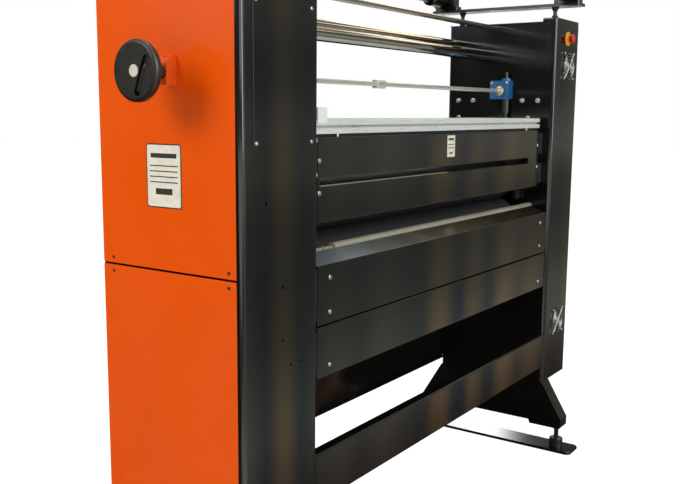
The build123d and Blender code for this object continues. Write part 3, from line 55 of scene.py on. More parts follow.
def srgb(red, green, blue):
    """Linear colour for a colour given as the eye reads it, from 0 to 255."""
    parts = []
    for part in (red, green, blue):
        share = part / 255
        if share <= TOE_END:
            parts.append(share / TOE_SLOPE)
        else:
            parts.append(((share + CURVE_OFFSET) / (1 + CURVE_OFFSET)) ** CURVE_POWER)
    return (*parts, 1.0)


def shade(colour, factor):
    """The same colour, lighter or darker."""
    return (*(min(part * factor, 1.0) for part in colour[:3]), 1.0)


# Node helpers

def split_axes(tree, source):
    """Outputs X, Y and Z of a vector."""
    node = tree.nodes.new("ShaderNodeSeparateXYZ")
    tree.links.new(source, node.inputs["Vector"])
    return node.outputs


def colour_ramp(tree, source, stops):
    """Colour ramp from (position, colour) stops, in linear colour."""
    node = tree.nodes.new("ShaderNodeValToRGB")
    while len(node.color_ramp.elements) < len(stops):
        node.color_ramp.elements.new(0.5)
    for element, (place, colour) in zip(node.color_ramp.elements, stops):
        element.position = place
        element.color = (*colour[:3], 1.0)
    tree.links.new(source, node.inputs["Fac"])
    return node.outputs["Color"]


def colour_mix(tree, factor, first, second, kind="MIX"):
    """Mix of two colours; each argument is a socket or a plain value."""
    node = tree.nodes.new("ShaderNodeMix")
    node.data_type = "RGBA"
    node.blend_type = kind
    for name, value in (("Factor", factor), ("A", first), ("B", second)):
        socket = node.inputs[name]
        if isinstance(value, (float, tuple)):
            socket.default_value = value
        else:
            tree.links.new(value, socket)
    return node.outputs["Result"]


def calculate(tree, kind, first, second=0.0):
    """One step of arithmetic; each argument is a socket or a plain number."""
    node = tree.nodes.new("ShaderNodeMath")
    node.operation = kind
    for socket, value in zip(node.inputs, (first, second)):
        if isinstance(value, (int, float)):
            socket.default_value = value
        else:
            tree.links.new(value, socket)
    return node.outputs["Value"]


def map_range(tree, source, start, end, low, high):
    """Source stretched so that start gives low and end gives high."""
    node = tree.nodes.new("ShaderNodeMapRange")
    node.inputs["From Min"].default_value = start
    node.inputs["From Max"].default_value = end
    node.inputs["To Min"].default_value = low
    node.inputs["To Max"].default_value = high
    tree.links.new(source, node.inputs["Value"])
    return node.outputs["Result"]


class Finish:
    """A material whose shader's inputs are fed by small procedural textures."""

    def __init__(self, name):
        self.material = bpy.data.materials.new(name)
        self.material.use_nodes = True
        self.tree = self.material.node_tree
        self.tree.nodes.clear()
        output = self.tree.nodes.new("ShaderNodeOutputMaterial")
        self.shader = self.tree.nodes.new("ShaderNodeBsdfPrincipled")
        self.link(self.shader.outputs["BSDF"], output.inputs["Surface"])
        self.place = self.tree.nodes.new("ShaderNodeTexCoord").outputs["Object"]

    def link(self, source, target):
        self.tree.links.new(source, target)

    def set(self, **values):
        for name, value in values.items():
            self.shader.inputs[name.replace("_", " ")].default_value = value

    def feed(self, source, name):
        self.link(source, self.shader.inputs[name])

    def stretched(self, scale):
        node = self.tree.nodes.new("ShaderNodeMapping")
        node.inputs["Scale"].default_value = scale
        self.link(self.place, node.inputs["Vector"])
        return node.outputs["Vector"]

    def noise(self, scale, detail=3.0, roughness=0.55, place=None):
        node = self.tree.nodes.new("ShaderNodeTexNoise")
        node.inputs["Scale"].default_value = scale
        node.inputs["Detail"].default_value = detail
        node.inputs["Roughness"].default_value = roughness
        self.link(place or self.place, node.inputs["Vector"])
        return node.outputs["Fac"]

    def cells(self, scale):
        node = self.tree.nodes.new("ShaderNodeTexVoronoi")
        node.inputs["Scale"].default_value = scale
        self.link(self.place, node.inputs["Vector"])
        return node.outputs["Distance"]

    def spread(self, source, low, high, start=0.3, end=0.7):
        return map_range(self.tree, source, start, end, low, high)

    def calculate(self, kind, first, second=0.0):
        return calculate(self.tree, kind, first, second)

    def ramp(self, source, stops):
        return colour_ramp(self.tree, source, stops)

    def two_tone(self, source, first, second):
        return self.ramp(source, ((0.3, first), (0.7, second)))

    def bump(self, height, distance, strength=1.0, under=None):
        node = self.tree.nodes.new("ShaderNodeBump")
        node.inputs["Distance"].default_value = distance
        node.inputs["Strength"].default_value = strength
        self.link(height, node.inputs["Height"])
        if under is not None:
            self.link(under, node.inputs["Normal"])
        return node.outputs["Normal"]


# Finishes

def painted(name, colour, roughness, peel, depth=0.00004, patch=2.2, contrast=0.12, coat=0.0,
            index=1.5):
    """Sprayed paint: slow shade changes, wiped streaks in the gloss, and orange peel."""
    finish = Finish(name)
    patches = finish.noise(scale=patch, detail=4.0)
    finish.feed(finish.ramp(patches, ((0.25, shade(colour, 1 - contrast)), (0.5, colour),
                                      (0.78, shade(colour, 1 + contrast)))), "Base Color")
    wiped = finish.noise(scale=7.0, detail=5.0, roughness=0.6,
                         place=finish.stretched((1.0, 1.0, 0.35)))
    finish.feed(finish.spread(wiped, low=roughness * 0.75, high=roughness * 1.35), "Roughness")
    skin = finish.noise(scale=peel, detail=2.0, roughness=0.5)
    slow = finish.noise(scale=peel / 24, detail=2.0, roughness=0.4)
    waves = finish.bump(slow, distance=depth * 6, strength=0.35)
    finish.feed(finish.bump(skin, distance=depth, strength=0.5, under=waves), "Normal")
    finish.set(Coat_Weight=coat, Coat_Roughness=0.05, IOR=index)
    return finish.material


def turned_metal(name, colour, roughness, along, grain=900.0, depth=0.000006, contrast=0.08,
                 metallic=1.0):
    """Metal with fine marks, drawn out along the axis whose part of `along` is small."""
    finish = Finish(name)
    marks = finish.noise(scale=grain, detail=3.0, roughness=0.6, place=finish.stretched(along))
    cloud = finish.noise(scale=5.0, detail=4.0)
    finish.feed(finish.two_tone(cloud, shade(colour, 1 - contrast), shade(colour, 1 + contrast)),
                "Base Color")
    worn = finish.calculate("ADD", finish.spread(marks, low=-0.25, high=0.25),
                            finish.spread(cloud, low=0.85, high=1.15))
    finish.feed(finish.calculate("MULTIPLY", worn, roughness), "Roughness")
    finish.feed(finish.bump(marks, distance=depth, strength=0.6), "Normal")
    finish.set(Metallic=metallic)
    return finish.material


def moulded(name, colour, roughness, coat=0.0):
    """Moulded plastic: fine spark texture with faint mottling and worn gloss."""
    contrast = 0.08
    finish = Finish(name)
    cloud = finish.noise(scale=12.0, detail=4.0)
    finish.feed(finish.two_tone(cloud, shade(colour, 1 - contrast), shade(colour, 1 + contrast)),
                "Base Color")
    finish.feed(finish.spread(finish.noise(scale=40.0, detail=3.0), low=roughness * 0.85,
                              high=roughness * 1.15), "Roughness")
    finish.feed(finish.bump(finish.cells(1400.0), distance=0.00003, strength=0.35), "Normal")
    finish.set(Coat_Weight=coat, Coat_Roughness=0.12, IOR=1.48)
    return finish.material


def ground_rubber(name, colour, roughness, along):
    """Ground rubber: close turning marks over a dull, slightly dusty skin."""
    finish = Finish(name)
    marks = finish.noise(scale=700.0, detail=2.0, roughness=0.5, place=finish.stretched(along))
    dust = finish.noise(scale=16.0, detail=6.0, roughness=0.7)
    finish.feed(finish.ramp(dust, ((0.35, colour), (0.75, shade(colour, 1.9)))), "Base Color")
    finish.feed(finish.spread(dust, low=roughness * 0.9, high=roughness), "Roughness")
    finish.feed(finish.bump(marks, distance=0.00002, strength=0.5), "Normal")
    finish.set(IOR=1.5)
    return finish.material


def cast_paint(name, colour, roughness):
    """Enamel over a cast housing: pitted skin under a gloss coat."""
    finish = Finish(name)
    pits = finish.noise(scale=140.0, detail=5.0, roughness=0.6)
    cloud = finish.noise(scale=9.0, detail=3.0)
    finish.feed(finish.two_tone(cloud, shade(colour, 0.82), shade(colour, 1.15)), "Base Color")
    finish.feed(finish.spread(pits, low=roughness * 0.8, high=roughness * 1.25), "Roughness")
    finish.feed(finish.bump(pits, distance=0.0004, strength=0.35), "Normal")
    finish.set(Coat_Weight=0.3, Coat_Roughness=0.1, IOR=1.5)
    return finish.material


# How the marks are drawn out along each axis

ROUND_X = (0.02, 1.0, 1.0)
ALONG_X = (0.012, 1.0, 1.0)
SHORT_X = (0.4, 1.0, 1.0)
SLEEVE = (1.0, 0.05, 0.05)
BELT = (0.1, 1.0, 1.0)
EVEN = (1.0, 1.0, 1.0)

GLOSS_BLACK = srgb(17, 17, 15)
GLOSS_PEEL = 620.0
GLOSS_DEPTH = 0.00002
GLOSS_COAT = 0.2

finishes = {
    "black_frame": painted("black_frame", srgb(12, 12, 11), 0.13, peel=520.0),
    "black_gloss": painted("black_gloss", GLOSS_BLACK, 0.08, peel=GLOSS_PEEL, depth=GLOSS_DEPTH,
                           coat=GLOSS_COAT),
    "black_steel": painted("black_steel", srgb(36, 36, 36), 0.32, peel=480.0),
    "orange_gloss": painted("orange_gloss", srgb(228, 82, 2), 0.2, peel=560.0, depth=0.00003,
                            patch=1.6, contrast=0.08, coat=0.12, index=1.36),
    "aluminium": turned_metal("aluminium", srgb(222, 228, 222), 0.34, ALONG_X, grain=600.0,
                              depth=0.000002, contrast=0.03, metallic=0.35),
    "chrome": turned_metal("chrome", srgb(205, 203, 196), 0.07, ROUND_X, grain=500.0,
                           depth=0.000002, contrast=0.04),
    "steel": turned_metal("steel", srgb(178, 178, 180), 0.33, ROUND_X),
    "dark_steel": turned_metal("dark_steel", srgb(70, 70, 68), 0.34, SHORT_X, grain=300.0),
    "black_casting": cast_paint("black_casting", srgb(30, 30, 31), 0.3),
    "bright_shaft": turned_metal("bright_shaft", srgb(206, 204, 198), 0.22, SHORT_X, grain=300.0,
                                 depth=0.0000006, contrast=0.04, metallic=0.6),
    "black_rubber": ground_rubber("black_rubber", srgb(30, 30, 31), 0.62, SLEEVE),
    "belt_rubber": ground_rubber("belt_rubber", srgb(44, 44, 44), 0.8, BELT),
    "blue_paint": cast_paint("blue_paint", srgb(36, 98, 152), 0.3),
    "grey_paint": cast_paint("grey_paint", srgb(108, 112, 116), 0.42),
    "orange_plastic": moulded("orange_plastic", srgb(226, 84, 16), 0.3, coat=0.4),
    "black_plastic": moulded("black_plastic", srgb(28, 27, 22), 0.42),
    "grey_plastic": moulded("grey_plastic", srgb(196, 193, 178), 0.42),
    "white_plastic": moulded("white_plastic", srgb(228, 231, 228), 0.34),
    "yellow_plastic": moulded("yellow_plastic", srgb(240, 176, 26), 0.3, coat=0.3),
    "red_plastic": moulded("red_plastic", srgb(196, 20, 14), 0.24, coat=0.5),
    "screw_steel": turned_metal("screw_steel", srgb(208, 208, 206), 0.26, EVEN, grain=800.0,
                                depth=0.000004),
}


def lip_finish():
    """The gloss black of the infeed panel, with a painted reflection in the base colour on the lip
    that faces up.
    """
    reflection_left = -0.75
    reflection_right = 0.93
    finish = Finish("infeed_gloss")
    tree = finish.tree
    facing = split_axes(tree, tree.nodes.new("ShaderNodeNewGeometry").outputs["Normal"])
    across = split_axes(tree, finish.place)
    along_lip = finish.spread(across["X"], low=0.0, high=1.0, start=reflection_left, end=reflection_right)
    # Painted reflection: blue-grey at the left end, turning brown to the right, put into the base
    # colour where the lip faces up
    painted_reflection = finish.ramp(along_lip, (
        (0.0, srgb(112, 120, 124)), (0.10, srgb(150, 158, 160)), (0.22, srgb(112, 114, 108)),
        (0.45, srgb(96, 90, 72)), (0.8, srgb(66, 58, 44)), (1.0, srgb(40, 36, 32))))
    facing_up = finish.spread(facing["Z"], low=0.0, high=1.0, start=0.5, end=0.85)
    cloud = finish.spread(finish.noise(scale=5.0, detail=4.0), low=0.55, high=1.0)
    amount = finish.calculate("MULTIPLY", facing_up, cloud)
    # Base colour: gloss black, with the painted reflection mixed in where the lip faces up
    finish.feed(colour_mix(tree, amount, GLOSS_BLACK, painted_reflection), "Base Color")
    finish.feed(finish.spread(finish.noise(scale=7.0, detail=5.0), low=0.07, high=0.12),
                "Roughness")
    finish.feed(finish.bump(finish.noise(scale=GLOSS_PEEL, detail=2.0), distance=GLOSS_DEPTH,
                            strength=0.5), "Normal")
    finish.set(Coat_Weight=GLOSS_COAT, Coat_Roughness=0.05, IOR=1.5)
    return finish.material


# Nodes that look different from the rest of their slot

own_finishes = {
    "infeed_panel": lip_finish(),
    "infeed_roller": turned_metal("infeed_steel", srgb(196, 190, 170), 0.22, ROUND_X, grain=500.0,
                                  depth=0.000002, contrast=0.04, metallic=0.35),
    "fan_guards": turned_metal("guard_wire", srgb(176, 178, 176), 0.2, EVEN, grain=500.0,
                               depth=0.000002, contrast=0.04, metallic=0.85),
}

for entry in frame["record"]["subparts"]:
    mesh = nodes[entry["node"]].data
    material = own_finishes.get(entry["node"], finishes[entry["material_slot"]])
    if mesh.materials:
        for index in range(len(mesh.materials)):
            mesh.materials[index] = material
    else:
        mesh.materials.append(material)


# Mesh helpers

def piece(name, mesh, material, body="machine"):
    """Put a finished mesh in the scene and let it ride on a body."""
    made = bpy.data.objects.new(name, mesh)
    bpy.context.scene.collection.objects.link(made)
    mesh.materials.append(material)
    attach(made, body)


def mesh_from(name, build, smooth=False):
    """Mesh of the faces that build makes, all facing outward."""
    shape = bmesh.new()
    build(shape)
    bmesh.ops.recalc_face_normals(shape, faces=shape.faces)
    mesh = bpy.data.meshes.new(name)
    shape.to_mesh(mesh)
    shape.free()
    for face in mesh.polygons:
        face.use_smooth = smooth
    return mesh


def close_rings(shape, rings):
    """Faces between neighbouring rings of points, and a flat face over each end."""
    count = len(rings[0])
    for first, second in zip(rings, rings[1:]):
        for step in range(count):
            after = (step + 1) % count
            shape.faces.new((first[step], first[after], second[after], second[step]))
    shape.faces.new(rings[0])
    shape.faces.new(rings[-1])


def spun(name, profile, centre, axis, steps):
    """Surface of revolution from (distance along, radius) points round an axis."""
    direction = Vector(axis).normalized()
    side = direction.orthogonal().normalized()
    other = direction.cross(side)

    def build(shape):
        rings = []
        for along, radius in profile:
            ring = []
            for step in range(steps):
                angle = 2 * math.pi * step / steps
                spoke = side * math.cos(angle) + other * math.sin(angle)
                ring.append(shape.verts.new(Vector(centre) + direction * along + spoke * radius))
            rings.append(ring)
        close_rings(shape, rings)

    return mesh_from(name, build, smooth=True)


def sheet_plate(name, centre, across, width, height, round_off, depth):
    """Thin plate with rounded corners on a face that looks to -Y (across X) or -X (across Y)."""
    quarter = 90
    step_angle = 15
    slope = depth * 0.4
    outline = []
    for turns, (side_sign, top_sign) in enumerate(((1, 1), (-1, 1), (-1, -1), (1, -1))):
        for step in range(quarter // step_angle + 1):
            angle = math.radians(turns * quarter + step_angle * step)
            outline.append((side_sign * (width / 2 - round_off) + round_off * math.cos(angle),
                            top_sign * (height / 2 - round_off) + round_off * math.sin(angle)))
    upright = Vector((0.0, 0.0, 1.0))
    sideways = Vector((1.0, 0.0, 0.0)) if across == "X" else Vector((0.0, 1.0, 0.0))
    outward = Vector((0.0, -1.0, 0.0)) if across == "X" else Vector((-1.0, 0.0, 0.0))

    def build(shape):
        rings = []
        for rise, inset in ((0.0, 0.0), (depth - slope, 0.0), (depth, slope)):
            rings.append([shape.verts.new(centre + outward * rise
                                          + sideways * aside * (1 - 2 * inset / width)
                                          + upright * above * (1 - 2 * inset / height))
                          for aside, above in outline])
        close_rings(shape, rings)

    return mesh_from(name, build)


def plate(name, low, high, edge):
    """Slab between two corners, with all its edges rounded off."""
    def build(shape):
        made = bmesh.ops.create_cube(shape, size=1.0)
        size = Vector(high) - Vector(low)
        middle = (Vector(high) + Vector(low)) / 2
        for vert in made["verts"]:
            vert.co = middle + Vector((vert.co.x * size.x, vert.co.y * size.y, vert.co.z * size.z))
        bmesh.ops.bevel(shape, geom=shape.edges[:], offset=edge, segments=3, affect="EDGES",
                        profile=0.6)

    return mesh_from(name, build)


# Labels: bare cream plates with plain rules, and no lettering

def label_finish(name, centre, across, width, height, border, round_off, rules):
    """Cream sheet with a dark border and dark rules, each given as (level, thickness, reach)."""
    finish = Finish(name)
    axes = split_axes(finish.tree, finish.place)
    sideways = finish.calculate("ABSOLUTE", finish.calculate("SUBTRACT", axes[across],
                                                             centre["XYZ".index(across)]))
    upright = finish.calculate("SUBTRACT", axes["Z"], centre.z)
    beyond = []
    for offset, size in ((sideways, width), (finish.calculate("ABSOLUTE", upright), height)):
        straight_end = size / 2 - round_off
        past = finish.calculate("MAXIMUM", finish.calculate("SUBTRACT", offset, straight_end), 0.0)
        beyond.append(finish.calculate("POWER", past, 2.0))
    from_corner = finish.calculate("SQRT", finish.calculate("ADD", *beyond))
    ink = finish.calculate("GREATER_THAN", from_corner, round_off - border)
    for level, thickness, reach in rules:
        above_rule = finish.calculate("SUBTRACT", upright, level)
        near = finish.calculate("LESS_THAN", finish.calculate("ABSOLUTE", above_rule),
                                thickness / 2)
        inside = finish.calculate("LESS_THAN", sideways, reach)
        ink = finish.calculate("MAXIMUM", ink, finish.calculate("MULTIPLY", near, inside))
    paper = finish.two_tone(finish.noise(scale=60.0, detail=4.0), srgb(214, 208, 186),
                            srgb(232, 227, 208))
    finish.feed(colour_mix(finish.tree, ink, paper, srgb(58, 54, 48)), "Base Color")
    finish.feed(finish.spread(finish.noise(scale=30.0), low=0.28, high=0.4), "Roughness")
    finish.feed(finish.bump(finish.noise(scale=300.0), distance=0.00001, strength=0.4), "Normal")
    return finish.material


# Each label's centre is on its cover's face, at the place that the photograph shows

cover_low, cover_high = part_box("nip_front_cover")
label_skin = 0.0008

big_centre = Vector((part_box("left_upper_cover")[0].x, 0.010, 1.312))
big_width = 0.125
big_height = 0.165
big_round = 0.009
big_border = 0.0032
big_rules = ((0.052, 0.012, 0.046), (0.026, 0.003, 0.050), (0.012, 0.003, 0.050),
             (-0.002, 0.003, 0.050), (-0.016, 0.003, 0.050), (-0.040, 0.016, 0.030))
big_finish = label_finish("large_label_print", big_centre, "Y", big_width, big_height,
                          big_border, big_round, big_rules)
piece("large_side_label",
      sheet_plate("large_side_label", big_centre, "Y", big_width, big_height, big_round,
                  label_skin),
      big_finish)

small_centre = Vector((0.079, cover_low.y, 1.363))
small_width = 0.061
small_height = 0.078
small_round = 0.004
small_border = 0.002
small_rules = ((0.024, 0.008, 0.020), (0.006, 0.003, 0.022), (-0.006, 0.003, 0.022),
               (-0.024, 0.006, 0.012))
small_finish = label_finish("small_label_print", small_centre, "X", small_width, small_height,
                            small_border, small_round, small_rules)
piece("small_front_label",
      sheet_plate("small_front_label", small_centre, "X", small_width, small_height,
                  small_round, label_skin),
      small_finish)


# Small fittings

def strip(name, low, high, edge, slot):
    """A slab on the machine's own body, with the look of its slot."""
    piece(name, plate(name, low, high, edge), finishes[slot])


right_frame_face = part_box("right_side_frame")[0].x
left_frame_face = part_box("left_side_frame")[1].x

# Dark seal between the front cover's top and the table

seal_back = 0.019
seal_depth = 0.004
seal_edge = 0.0005
table_gap = 0.008
seal_front = cover_low.y + seal_back
strip("table_seal", (cover_low.x, seal_front, cover_high.z),
      (cover_high.x, seal_front + seal_depth, cover_high.z + table_gap), seal_edge,
      "black_rubber")

# Joint strips behind the rear panel's ends, where it meets the housings' rounded corners

joint_sheet = 0.0012
joint_reach = 0.040
joint_edge = 0.0004
rear_low, rear_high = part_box("rear_cover_panel")
housing_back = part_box("housing_rear_panels")[1].y
for side, start_x, end_x in (("left", rear_low.x - joint_reach, rear_low.x),
                             ("right", rear_high.x, rear_high.x + joint_reach)):
    strip(f"rear_joint_{side}", (start_x, housing_back, rear_low.z),
          (end_x, housing_back + joint_sheet, rear_high.z), joint_edge, "black_gloss")

# Closing strip between the left frame and the front cover's end

end_depth = 0.002
end_back = 0.003
end_edge = 0.0003
end_front = cover_low.y + end_back
strip("cover_end_strip", (left_frame_face, end_front, cover_low.z),
      (cover_low.x, end_front + end_depth, cover_high.z), end_edge, "black_gloss")

# Fan guards: a painted highlight, a wire lighter than the guard laid over the stay that crosses
# each guard from corner to corner

wire_radius = 0.0011
wire_tip = wire_radius * 0.7
wire_reach = 0.064
wire_round = 0.001
wire_steps = 16
wire_profile = ((0.0, wire_tip), (wire_round, wire_radius),
                (2 * wire_reach - wire_round, wire_radius), (2 * wire_reach, wire_tip))
wire_axis = Vector((1, 0, 1)).normalized()
# Painted highlight: the stay's glint, as a lighter and less metallic copy of the guard's wire
painted_highlight_wire = turned_metal("painted_highlight_wire", srgb(232, 234, 232), 0.2, EVEN, grain=500.0,
                           depth=0.000002, contrast=0.04, metallic=0.4)
guard_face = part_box("fan_guards")[0].y
for name in ("upper", "lower"):
    fan_low, fan_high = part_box(f"{name}_impeller")
    middle = (fan_low + fan_high) / 2
    start = Vector((middle.x, guard_face - wire_radius / 2, middle.z)) - wire_axis * wire_reach
    wire = f"guard_wire_{name}"
    piece(wire, spun(wire, wire_profile, start, wire_axis, wire_steps), painted_highlight_wire)

# Jacks: a bronze bush and two cover screws on each, turned from (distance out, radius)
# points. The hub's end and the jack's depth are measured from the frame's face.

bush_profile = ((0.0, 0.0195), (0.0012, 0.0205), (0.003, 0.0195), (0.003, 0.0125),
                (0.006, 0.0115), (0.006, 0.0085), (0.0, 0.0085))
bush_steps = 48
screw_profile = ((0.0, 0.0055), (0.0035, 0.0055), (0.0045, 0.0045), (0.0045, 0.002),
                 (0.002, 0.0018))
screw_steps = 24
screw_inset = 0.009
screw_drop = 0.019
hub_end = 0.058
jack_depth = 0.044
jack_low, jack_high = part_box("jack_housings")
shaft_low, shaft_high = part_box("shaft_coupling")
shaft_y = (shaft_low.y + shaft_high.y) / 2
shaft_z = (shaft_low.z + shaft_high.z) / 2
bronze = turned_metal("bronze", srgb(196, 176, 126), 0.3, EVEN, grain=700.0, depth=0.000003,
                      contrast=0.08, metallic=0.7)
for side, face, outward in (("left", left_frame_face, 1), ("right", right_frame_face, -1)):
    axis = (outward, 0, 0)
    bush = f"jack_bush_{side}"
    piece(bush, spun(bush, bush_profile, (face + outward * hub_end, shaft_y, shaft_z), axis,
                     bush_steps), bronze)
    for name, y in (("front", jack_low.y + screw_inset), ("rear", jack_high.y - screw_inset)):
        screw = f"jack_screw_{side}_{name}"
        head = (face + outward * jack_depth, y, jack_high.z - screw_drop)
        piece(screw, spun(screw, screw_profile, head, axis, screw_steps),
              finishes["screw_steel"])


# Surroundings that only the gloss shows: brown and navy columns of a dim room. Each colour
# stands at a bearing in degrees, from -Y towards +X, round the camera's mirror image behind
# the model's front.

WARM = (0.95, 0.74, 0.48)
COOL = (0.14, 0.24, 0.36)
PLAIN = (0.60, 0.60, 0.56)
DIM = (0.36, 0.40, 0.40)
SHADE = (0.26, 0.30, 0.31)
BROWN = (0.74, 0.60, 0.42)
BRIGHT = (1.6, 1.7, 1.8)
COLUMNS = ((-4.0, DIM), (2.0, BRIGHT), (36.0, BRIGHT), (46.0, PLAIN), (49.6, PLAIN),
           (50.2, COOL), (50.9, COOL), (51.3, WARM), (52.1, WARM), (52.6, COOL), (53.6, DIM),
           (55.5, PLAIN), (57.0, DIM), (58.4, PLAIN), (60.2, DIM), (61.4, COOL), (61.8, WARM),
           (62.8, WARM), (63.0, COOL), (63.9, COOL), (64.1, WARM), (64.7, WARM), (64.9, COOL),
           (65.8, COOL), (66.0, WARM), (66.8, WARM), (67.0, COOL), (68.0, BROWN), (68.9, SHADE),
           (70.0, SHADE), (70.5, BROWN), (72.0, BROWN))
COLUMNS_START = -5.0
COLUMNS_END = 72.0
MIRROR = (-2.67, 1.14)


def columns_colour(tree, bearing):
    """Colour of the surroundings at a bearing."""
    span = COLUMNS_END - COLUMNS_START
    share = map_range(tree, bearing, COLUMNS_START, COLUMNS_END, 0.0, 1.0)
    return colour_ramp(tree, share, [((at - COLUMNS_START) / span, colour)
                                     for at, colour in COLUMNS])


# Floor: white to the eye apart from the model's shadow, and dim in the gloss

MODEL_FRONT = -0.25
FLOOR_DEPTH = 12.0
FLOOR_REACH = 30.0
EYE_WHITE = (1.5, 1.5, 1.5, 1.0)
EYE_SHARE = 0.6
OPEN_SIDE = (1.6, 1.6, 1.6, 1.0)


def floor_finish():
    """Pale floor: its shading keeps the shadow, and its glow is white to the eye."""
    finish = Finish("pale_floor")
    grain = finish.noise(scale=1.5, detail=4.0)
    finish.feed(finish.two_tone(grain, (0.86, 0.86, 0.86), (0.88, 0.88, 0.88)), "Base Color")
    finish.set(Roughness=0.9)
    tree = finish.tree
    axes = split_axes(tree, finish.place)
    x = axes["X"]
    y = axes["Y"]

    # Light in the gloss, from the model's front to the floor's depth ahead of it
    ahead = finish.spread(y, low=1.0, high=0.0, start=MODEL_FRONT - FLOOR_DEPTH, end=MODEL_FRONT)
    front_light = finish.ramp(ahead, (
        (0.0, (0.033, 0.027, 0.022)), (0.012, (0.15, 0.08, 0.06)), (0.045, (0.40, 0.31, 0.25)),
        (0.085, (0.97, 0.94, 0.80)), (0.165, (0.48, 0.49, 0.43)), (0.27, (0.32, 0.34, 0.31)),
        (0.46, (0.34, 0.36, 0.31)), (0.95, (0.72, 0.70, 0.58))))
    turn = finish.calculate("ARCTAN2", finish.calculate("SUBTRACT", x, MIRROR[0]),
                            finish.calculate("SUBTRACT", MIRROR[1], y))
    columns = columns_colour(tree, finish.calculate("DEGREES", turn))
    tinted = colour_mix(tree, 1.0, front_light, columns, "MULTIPLY")

    # Far behind to the right, and far in front to the left, the gloss sees a bright floor
    behind = finish.calculate("MULTIPLY",
                              finish.spread(x, low=0.0, high=1.0, start=3.0, end=5.0),
                              finish.spread(y, low=0.0, high=1.0, start=1.0, end=2.0))
    beside = finish.calculate("MULTIPLY",
                              finish.spread(x, low=1.0, high=0.0, start=-4.2, end=-3.6),
                              finish.spread(y, low=1.0, high=0.0, start=-2.6, end=-2.0))
    open_side = finish.calculate("MAXIMUM", behind, beside)
    reflected = colour_mix(tree, open_side, tinted, OPEN_SIDE)

    path = tree.nodes.new("ShaderNodeLightPath")
    seen = colour_mix(tree, path.outputs["Is Camera Ray"], reflected, EYE_WHITE)
    light = tree.nodes.new("ShaderNodeEmission")
    finish.link(seen, light.inputs["Color"])
    eye_share = finish.calculate("MULTIPLY", path.outputs["Is Camera Ray"], EYE_SHARE)
    share = finish.calculate("MAXIMUM", eye_share, path.outputs["Is Glossy Ray"])
    mix = tree.nodes.new("ShaderNodeMixShader")
    finish.link(share, mix.inputs["Fac"])
    finish.link(finish.shader.outputs["BSDF"], mix.inputs[1])
    finish.link(light.outputs["Emission"], mix.inputs[2])
    output = next(node for node in tree.nodes if node.type == "OUTPUT_MATERIAL")
    finish.link(mix.outputs["Shader"], output.inputs["Surface"])
    return finish.material


def floor_mesh(shape):
    corners = ((-1, -1), (1, -1), (1, 1), (-1, 1))
    shape.faces.new([shape.verts.new((x * FLOOR_REACH, y * FLOOR_REACH, 0.0))
                     for x, y in corners])


floor = bpy.data.objects.new("studio_floor", mesh_from("studio_floor", floor_mesh))
floor.data.materials.append(floor_finish())
bpy.context.scene.collection.objects.link(floor)


# World: white to the eye, plain for shading, and banded for reflections

ROOM_LIGHT = (3.0, 3.0, 3.0, 1.0)
SHADING_LIGHT = (0.42, 0.43, 0.44, 1.0)
BACKGROUND = (1.0, 1.0, 1.0, 1.0)
WINDOWS = (
    # Bearing from +X in degrees with its half width and softness, height as the Z of a unit
    # direction with its half height and softness, and light
    (25.5, 2.0, 0.8, 0.36, 0.06, 0.02, (7.0, 7.2, 7.6)),
    (136.4, 1.5, 2.5, 0.10, 0.012, 0.03, (1.6, 1.5, 1.4)),
    (-112.0, 22.0, 6.0, 0.45, 0.40, 0.04, (2.2, 2.3, 2.5)),
    (-88.0, 4.0, 2.0, 0.30, 0.60, 0.10, (11.0, 11.4, 12.0)),
    (151.0, 3.0, 1.0, 0.122, 0.010, 0.006, (3.0, 3.2, 3.6)),
)


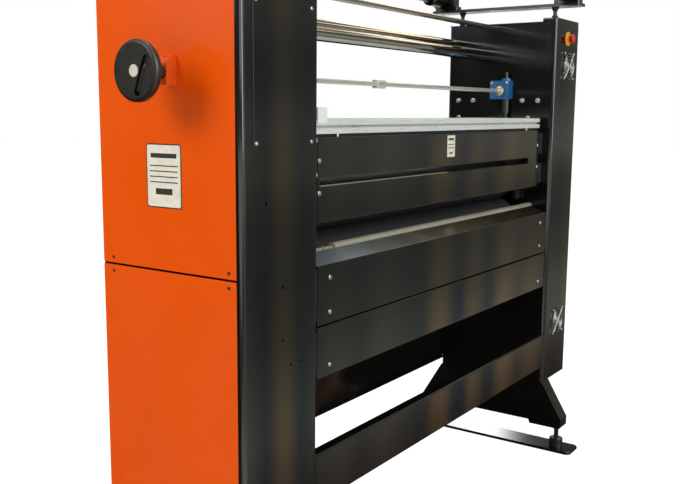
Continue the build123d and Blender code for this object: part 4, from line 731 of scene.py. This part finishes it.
def build_world():
    """The columns' colours, with a brightness for each bearing and each height, and windows."""
    world = bpy.data.worlds.new("studio")
    bpy.context.scene.world = world
    world.use_nodes = True
    tree = world.node_tree
    tree.nodes.clear()
    place = tree.nodes.new("ShaderNodeTexCoord").outputs["Generated"]
    axes = split_axes(tree, place)
    height = axes["Z"]
    turn = calculate(tree, "DEGREES", calculate(tree, "ARCTAN2", axes["Y"], axes["X"]))
    bands = colour_ramp(tree, map_range(tree, turn, -180.0, 180.0, 0.0, 1.0), (
        (0.00, (0.7, 0.7, 0.7)), (0.15, (1.0, 1.0, 1.0)), (0.50, (0.9, 0.9, 0.9)),
        (0.62, (1.0, 1.0, 1.0)), (0.80, (0.8, 0.8, 0.8)), (0.85, (0.26, 0.26, 0.26)),
        (0.91, (0.16, 0.17, 0.18)), (0.95, (0.16, 0.17, 0.19)), (0.99, (0.7, 0.7, 0.7))))
    columns = columns_colour(tree, calculate(tree, "ADD", turn, 90.0))
    levels = colour_ramp(tree, map_range(tree, height, -0.2, 1.0, 0.0, 1.0), (
        (0.00, (0.22, 0.22, 0.22)), (0.15, (0.26, 0.26, 0.26)), (0.19, (0.15, 0.16, 0.15)),
        (0.22, (0.13, 0.14, 0.14)), (0.27, (0.25, 0.25, 0.22)), (0.34, (0.08, 0.08, 0.09)),
        (0.46, (0.07, 0.07, 0.08)), (0.55, (0.08, 0.08, 0.08)), (0.565, (1.0, 0.98, 0.94)),
        (0.60, (1.0, 0.98, 0.94)), (0.615, (0.10, 0.10, 0.11)), (0.70, (0.16, 0.15, 0.13)),
        (0.80, (0.30, 0.28, 0.22)), (1.00, (0.42, 0.40, 0.34))))
    seen = colour_mix(tree, 1.0, bands, levels, "MULTIPLY")
    seen = colour_mix(tree, 1.0, seen, columns, "MULTIPLY")
    seen = colour_mix(tree, 1.0, seen, ROOM_LIGHT, "MULTIPLY")
    for bearing, half, soft, middle, reach, fade, light in WINDOWS:
        sideways = calculate(tree, "ABSOLUTE", calculate(tree, "SUBTRACT", turn, bearing))
        upright = calculate(tree, "ABSOLUTE", calculate(tree, "SUBTRACT", height, middle))
        share = calculate(tree, "MULTIPLY",
                          map_range(tree, sideways, half, half + soft, 1.0, 0.0),
                          map_range(tree, upright, reach, reach + fade, 1.0, 0.0))
        seen = colour_mix(tree, share, seen, (*light, 1.0))
    path = tree.nodes.new("ShaderNodeLightPath")
    plain = colour_mix(tree, path.outputs["Is Glossy Ray"], SHADING_LIGHT, seen)
    final = colour_mix(tree, path.outputs["Is Camera Ray"], plain, BACKGROUND)
    background = tree.nodes.new("ShaderNodeBackground")
    tree.links.new(final, background.inputs["Color"])
    output = tree.nodes.new("ShaderNodeOutputWorld")
    tree.links.new(background.outputs["Background"], output.inputs["Surface"])


build_world()


# Lamps

def softbox(name, place, aim, width, height, power):
    """A rectangular lamp that faces its aim."""
    lamp = bpy.data.lights.new(name, "AREA")
    lamp.shape = "RECTANGLE"
    lamp.size = width
    lamp.size_y = height
    lamp.energy = power
    made = bpy.data.objects.new(name, lamp)
    bpy.context.scene.collection.objects.link(made)
    made.location = place
    made.rotation_euler = (Vector(aim) - Vector(place)).to_track_quat("-Z", "Y").to_euler()


softbox("left_softbox", place=(-4.6, 1.9, 3.9), aim=(-1.0, 0.0, 1.2), width=2.2, height=2.2,
        power=135)
softbox("front_softbox", place=(-1.2, -5.2, 3.4), aim=(0.1, 0.0, 1.1), width=3.0, height=2.0,
        power=130)
softbox("top_softbox", place=(0.4, 0.4, 5.6), aim=(0.1, 0.0, 0.9), width=3.2, height=1.6,
        power=110)


# Camera at the photograph's place

YAW = math.radians(55.4537)
PITCH = math.radians(8.4708)
ROLL = math.radians(0.45766)
LENS = 46.472
SENSOR_WIDTH = 36.0
FAR_CLIP = 200.0
CAMERA_PLACE = (-2.67075, -1.639, 1.480)

forward = Vector((math.sin(YAW) * math.cos(PITCH), math.cos(YAW) * math.cos(PITCH),
                  -math.sin(PITCH)))
level = Vector((math.cos(YAW), -math.sin(YAW), 0.0))
above = level.cross(forward)
right = level * math.cos(ROLL) + above * math.sin(ROLL)
up = above * math.cos(ROLL) - level * math.sin(ROLL)
view = bpy.data.cameras.new("photo_camera")
view.sensor_fit = "HORIZONTAL"
view.sensor_width = SENSOR_WIDTH
view.lens = LENS
view.clip_end = FAR_CLIP
camera = bpy.data.objects.new("photo_camera", view)
bpy.context.scene.collection.objects.link(camera)
turn = Matrix((right, up, -forward)).transposed().to_4x4()
camera.matrix_world = Matrix.Translation(CAMERA_PLACE) @ turn
bpy.context.scene.camera = camera

bpy.context.scene.view_settings.view_transform = "Standard"
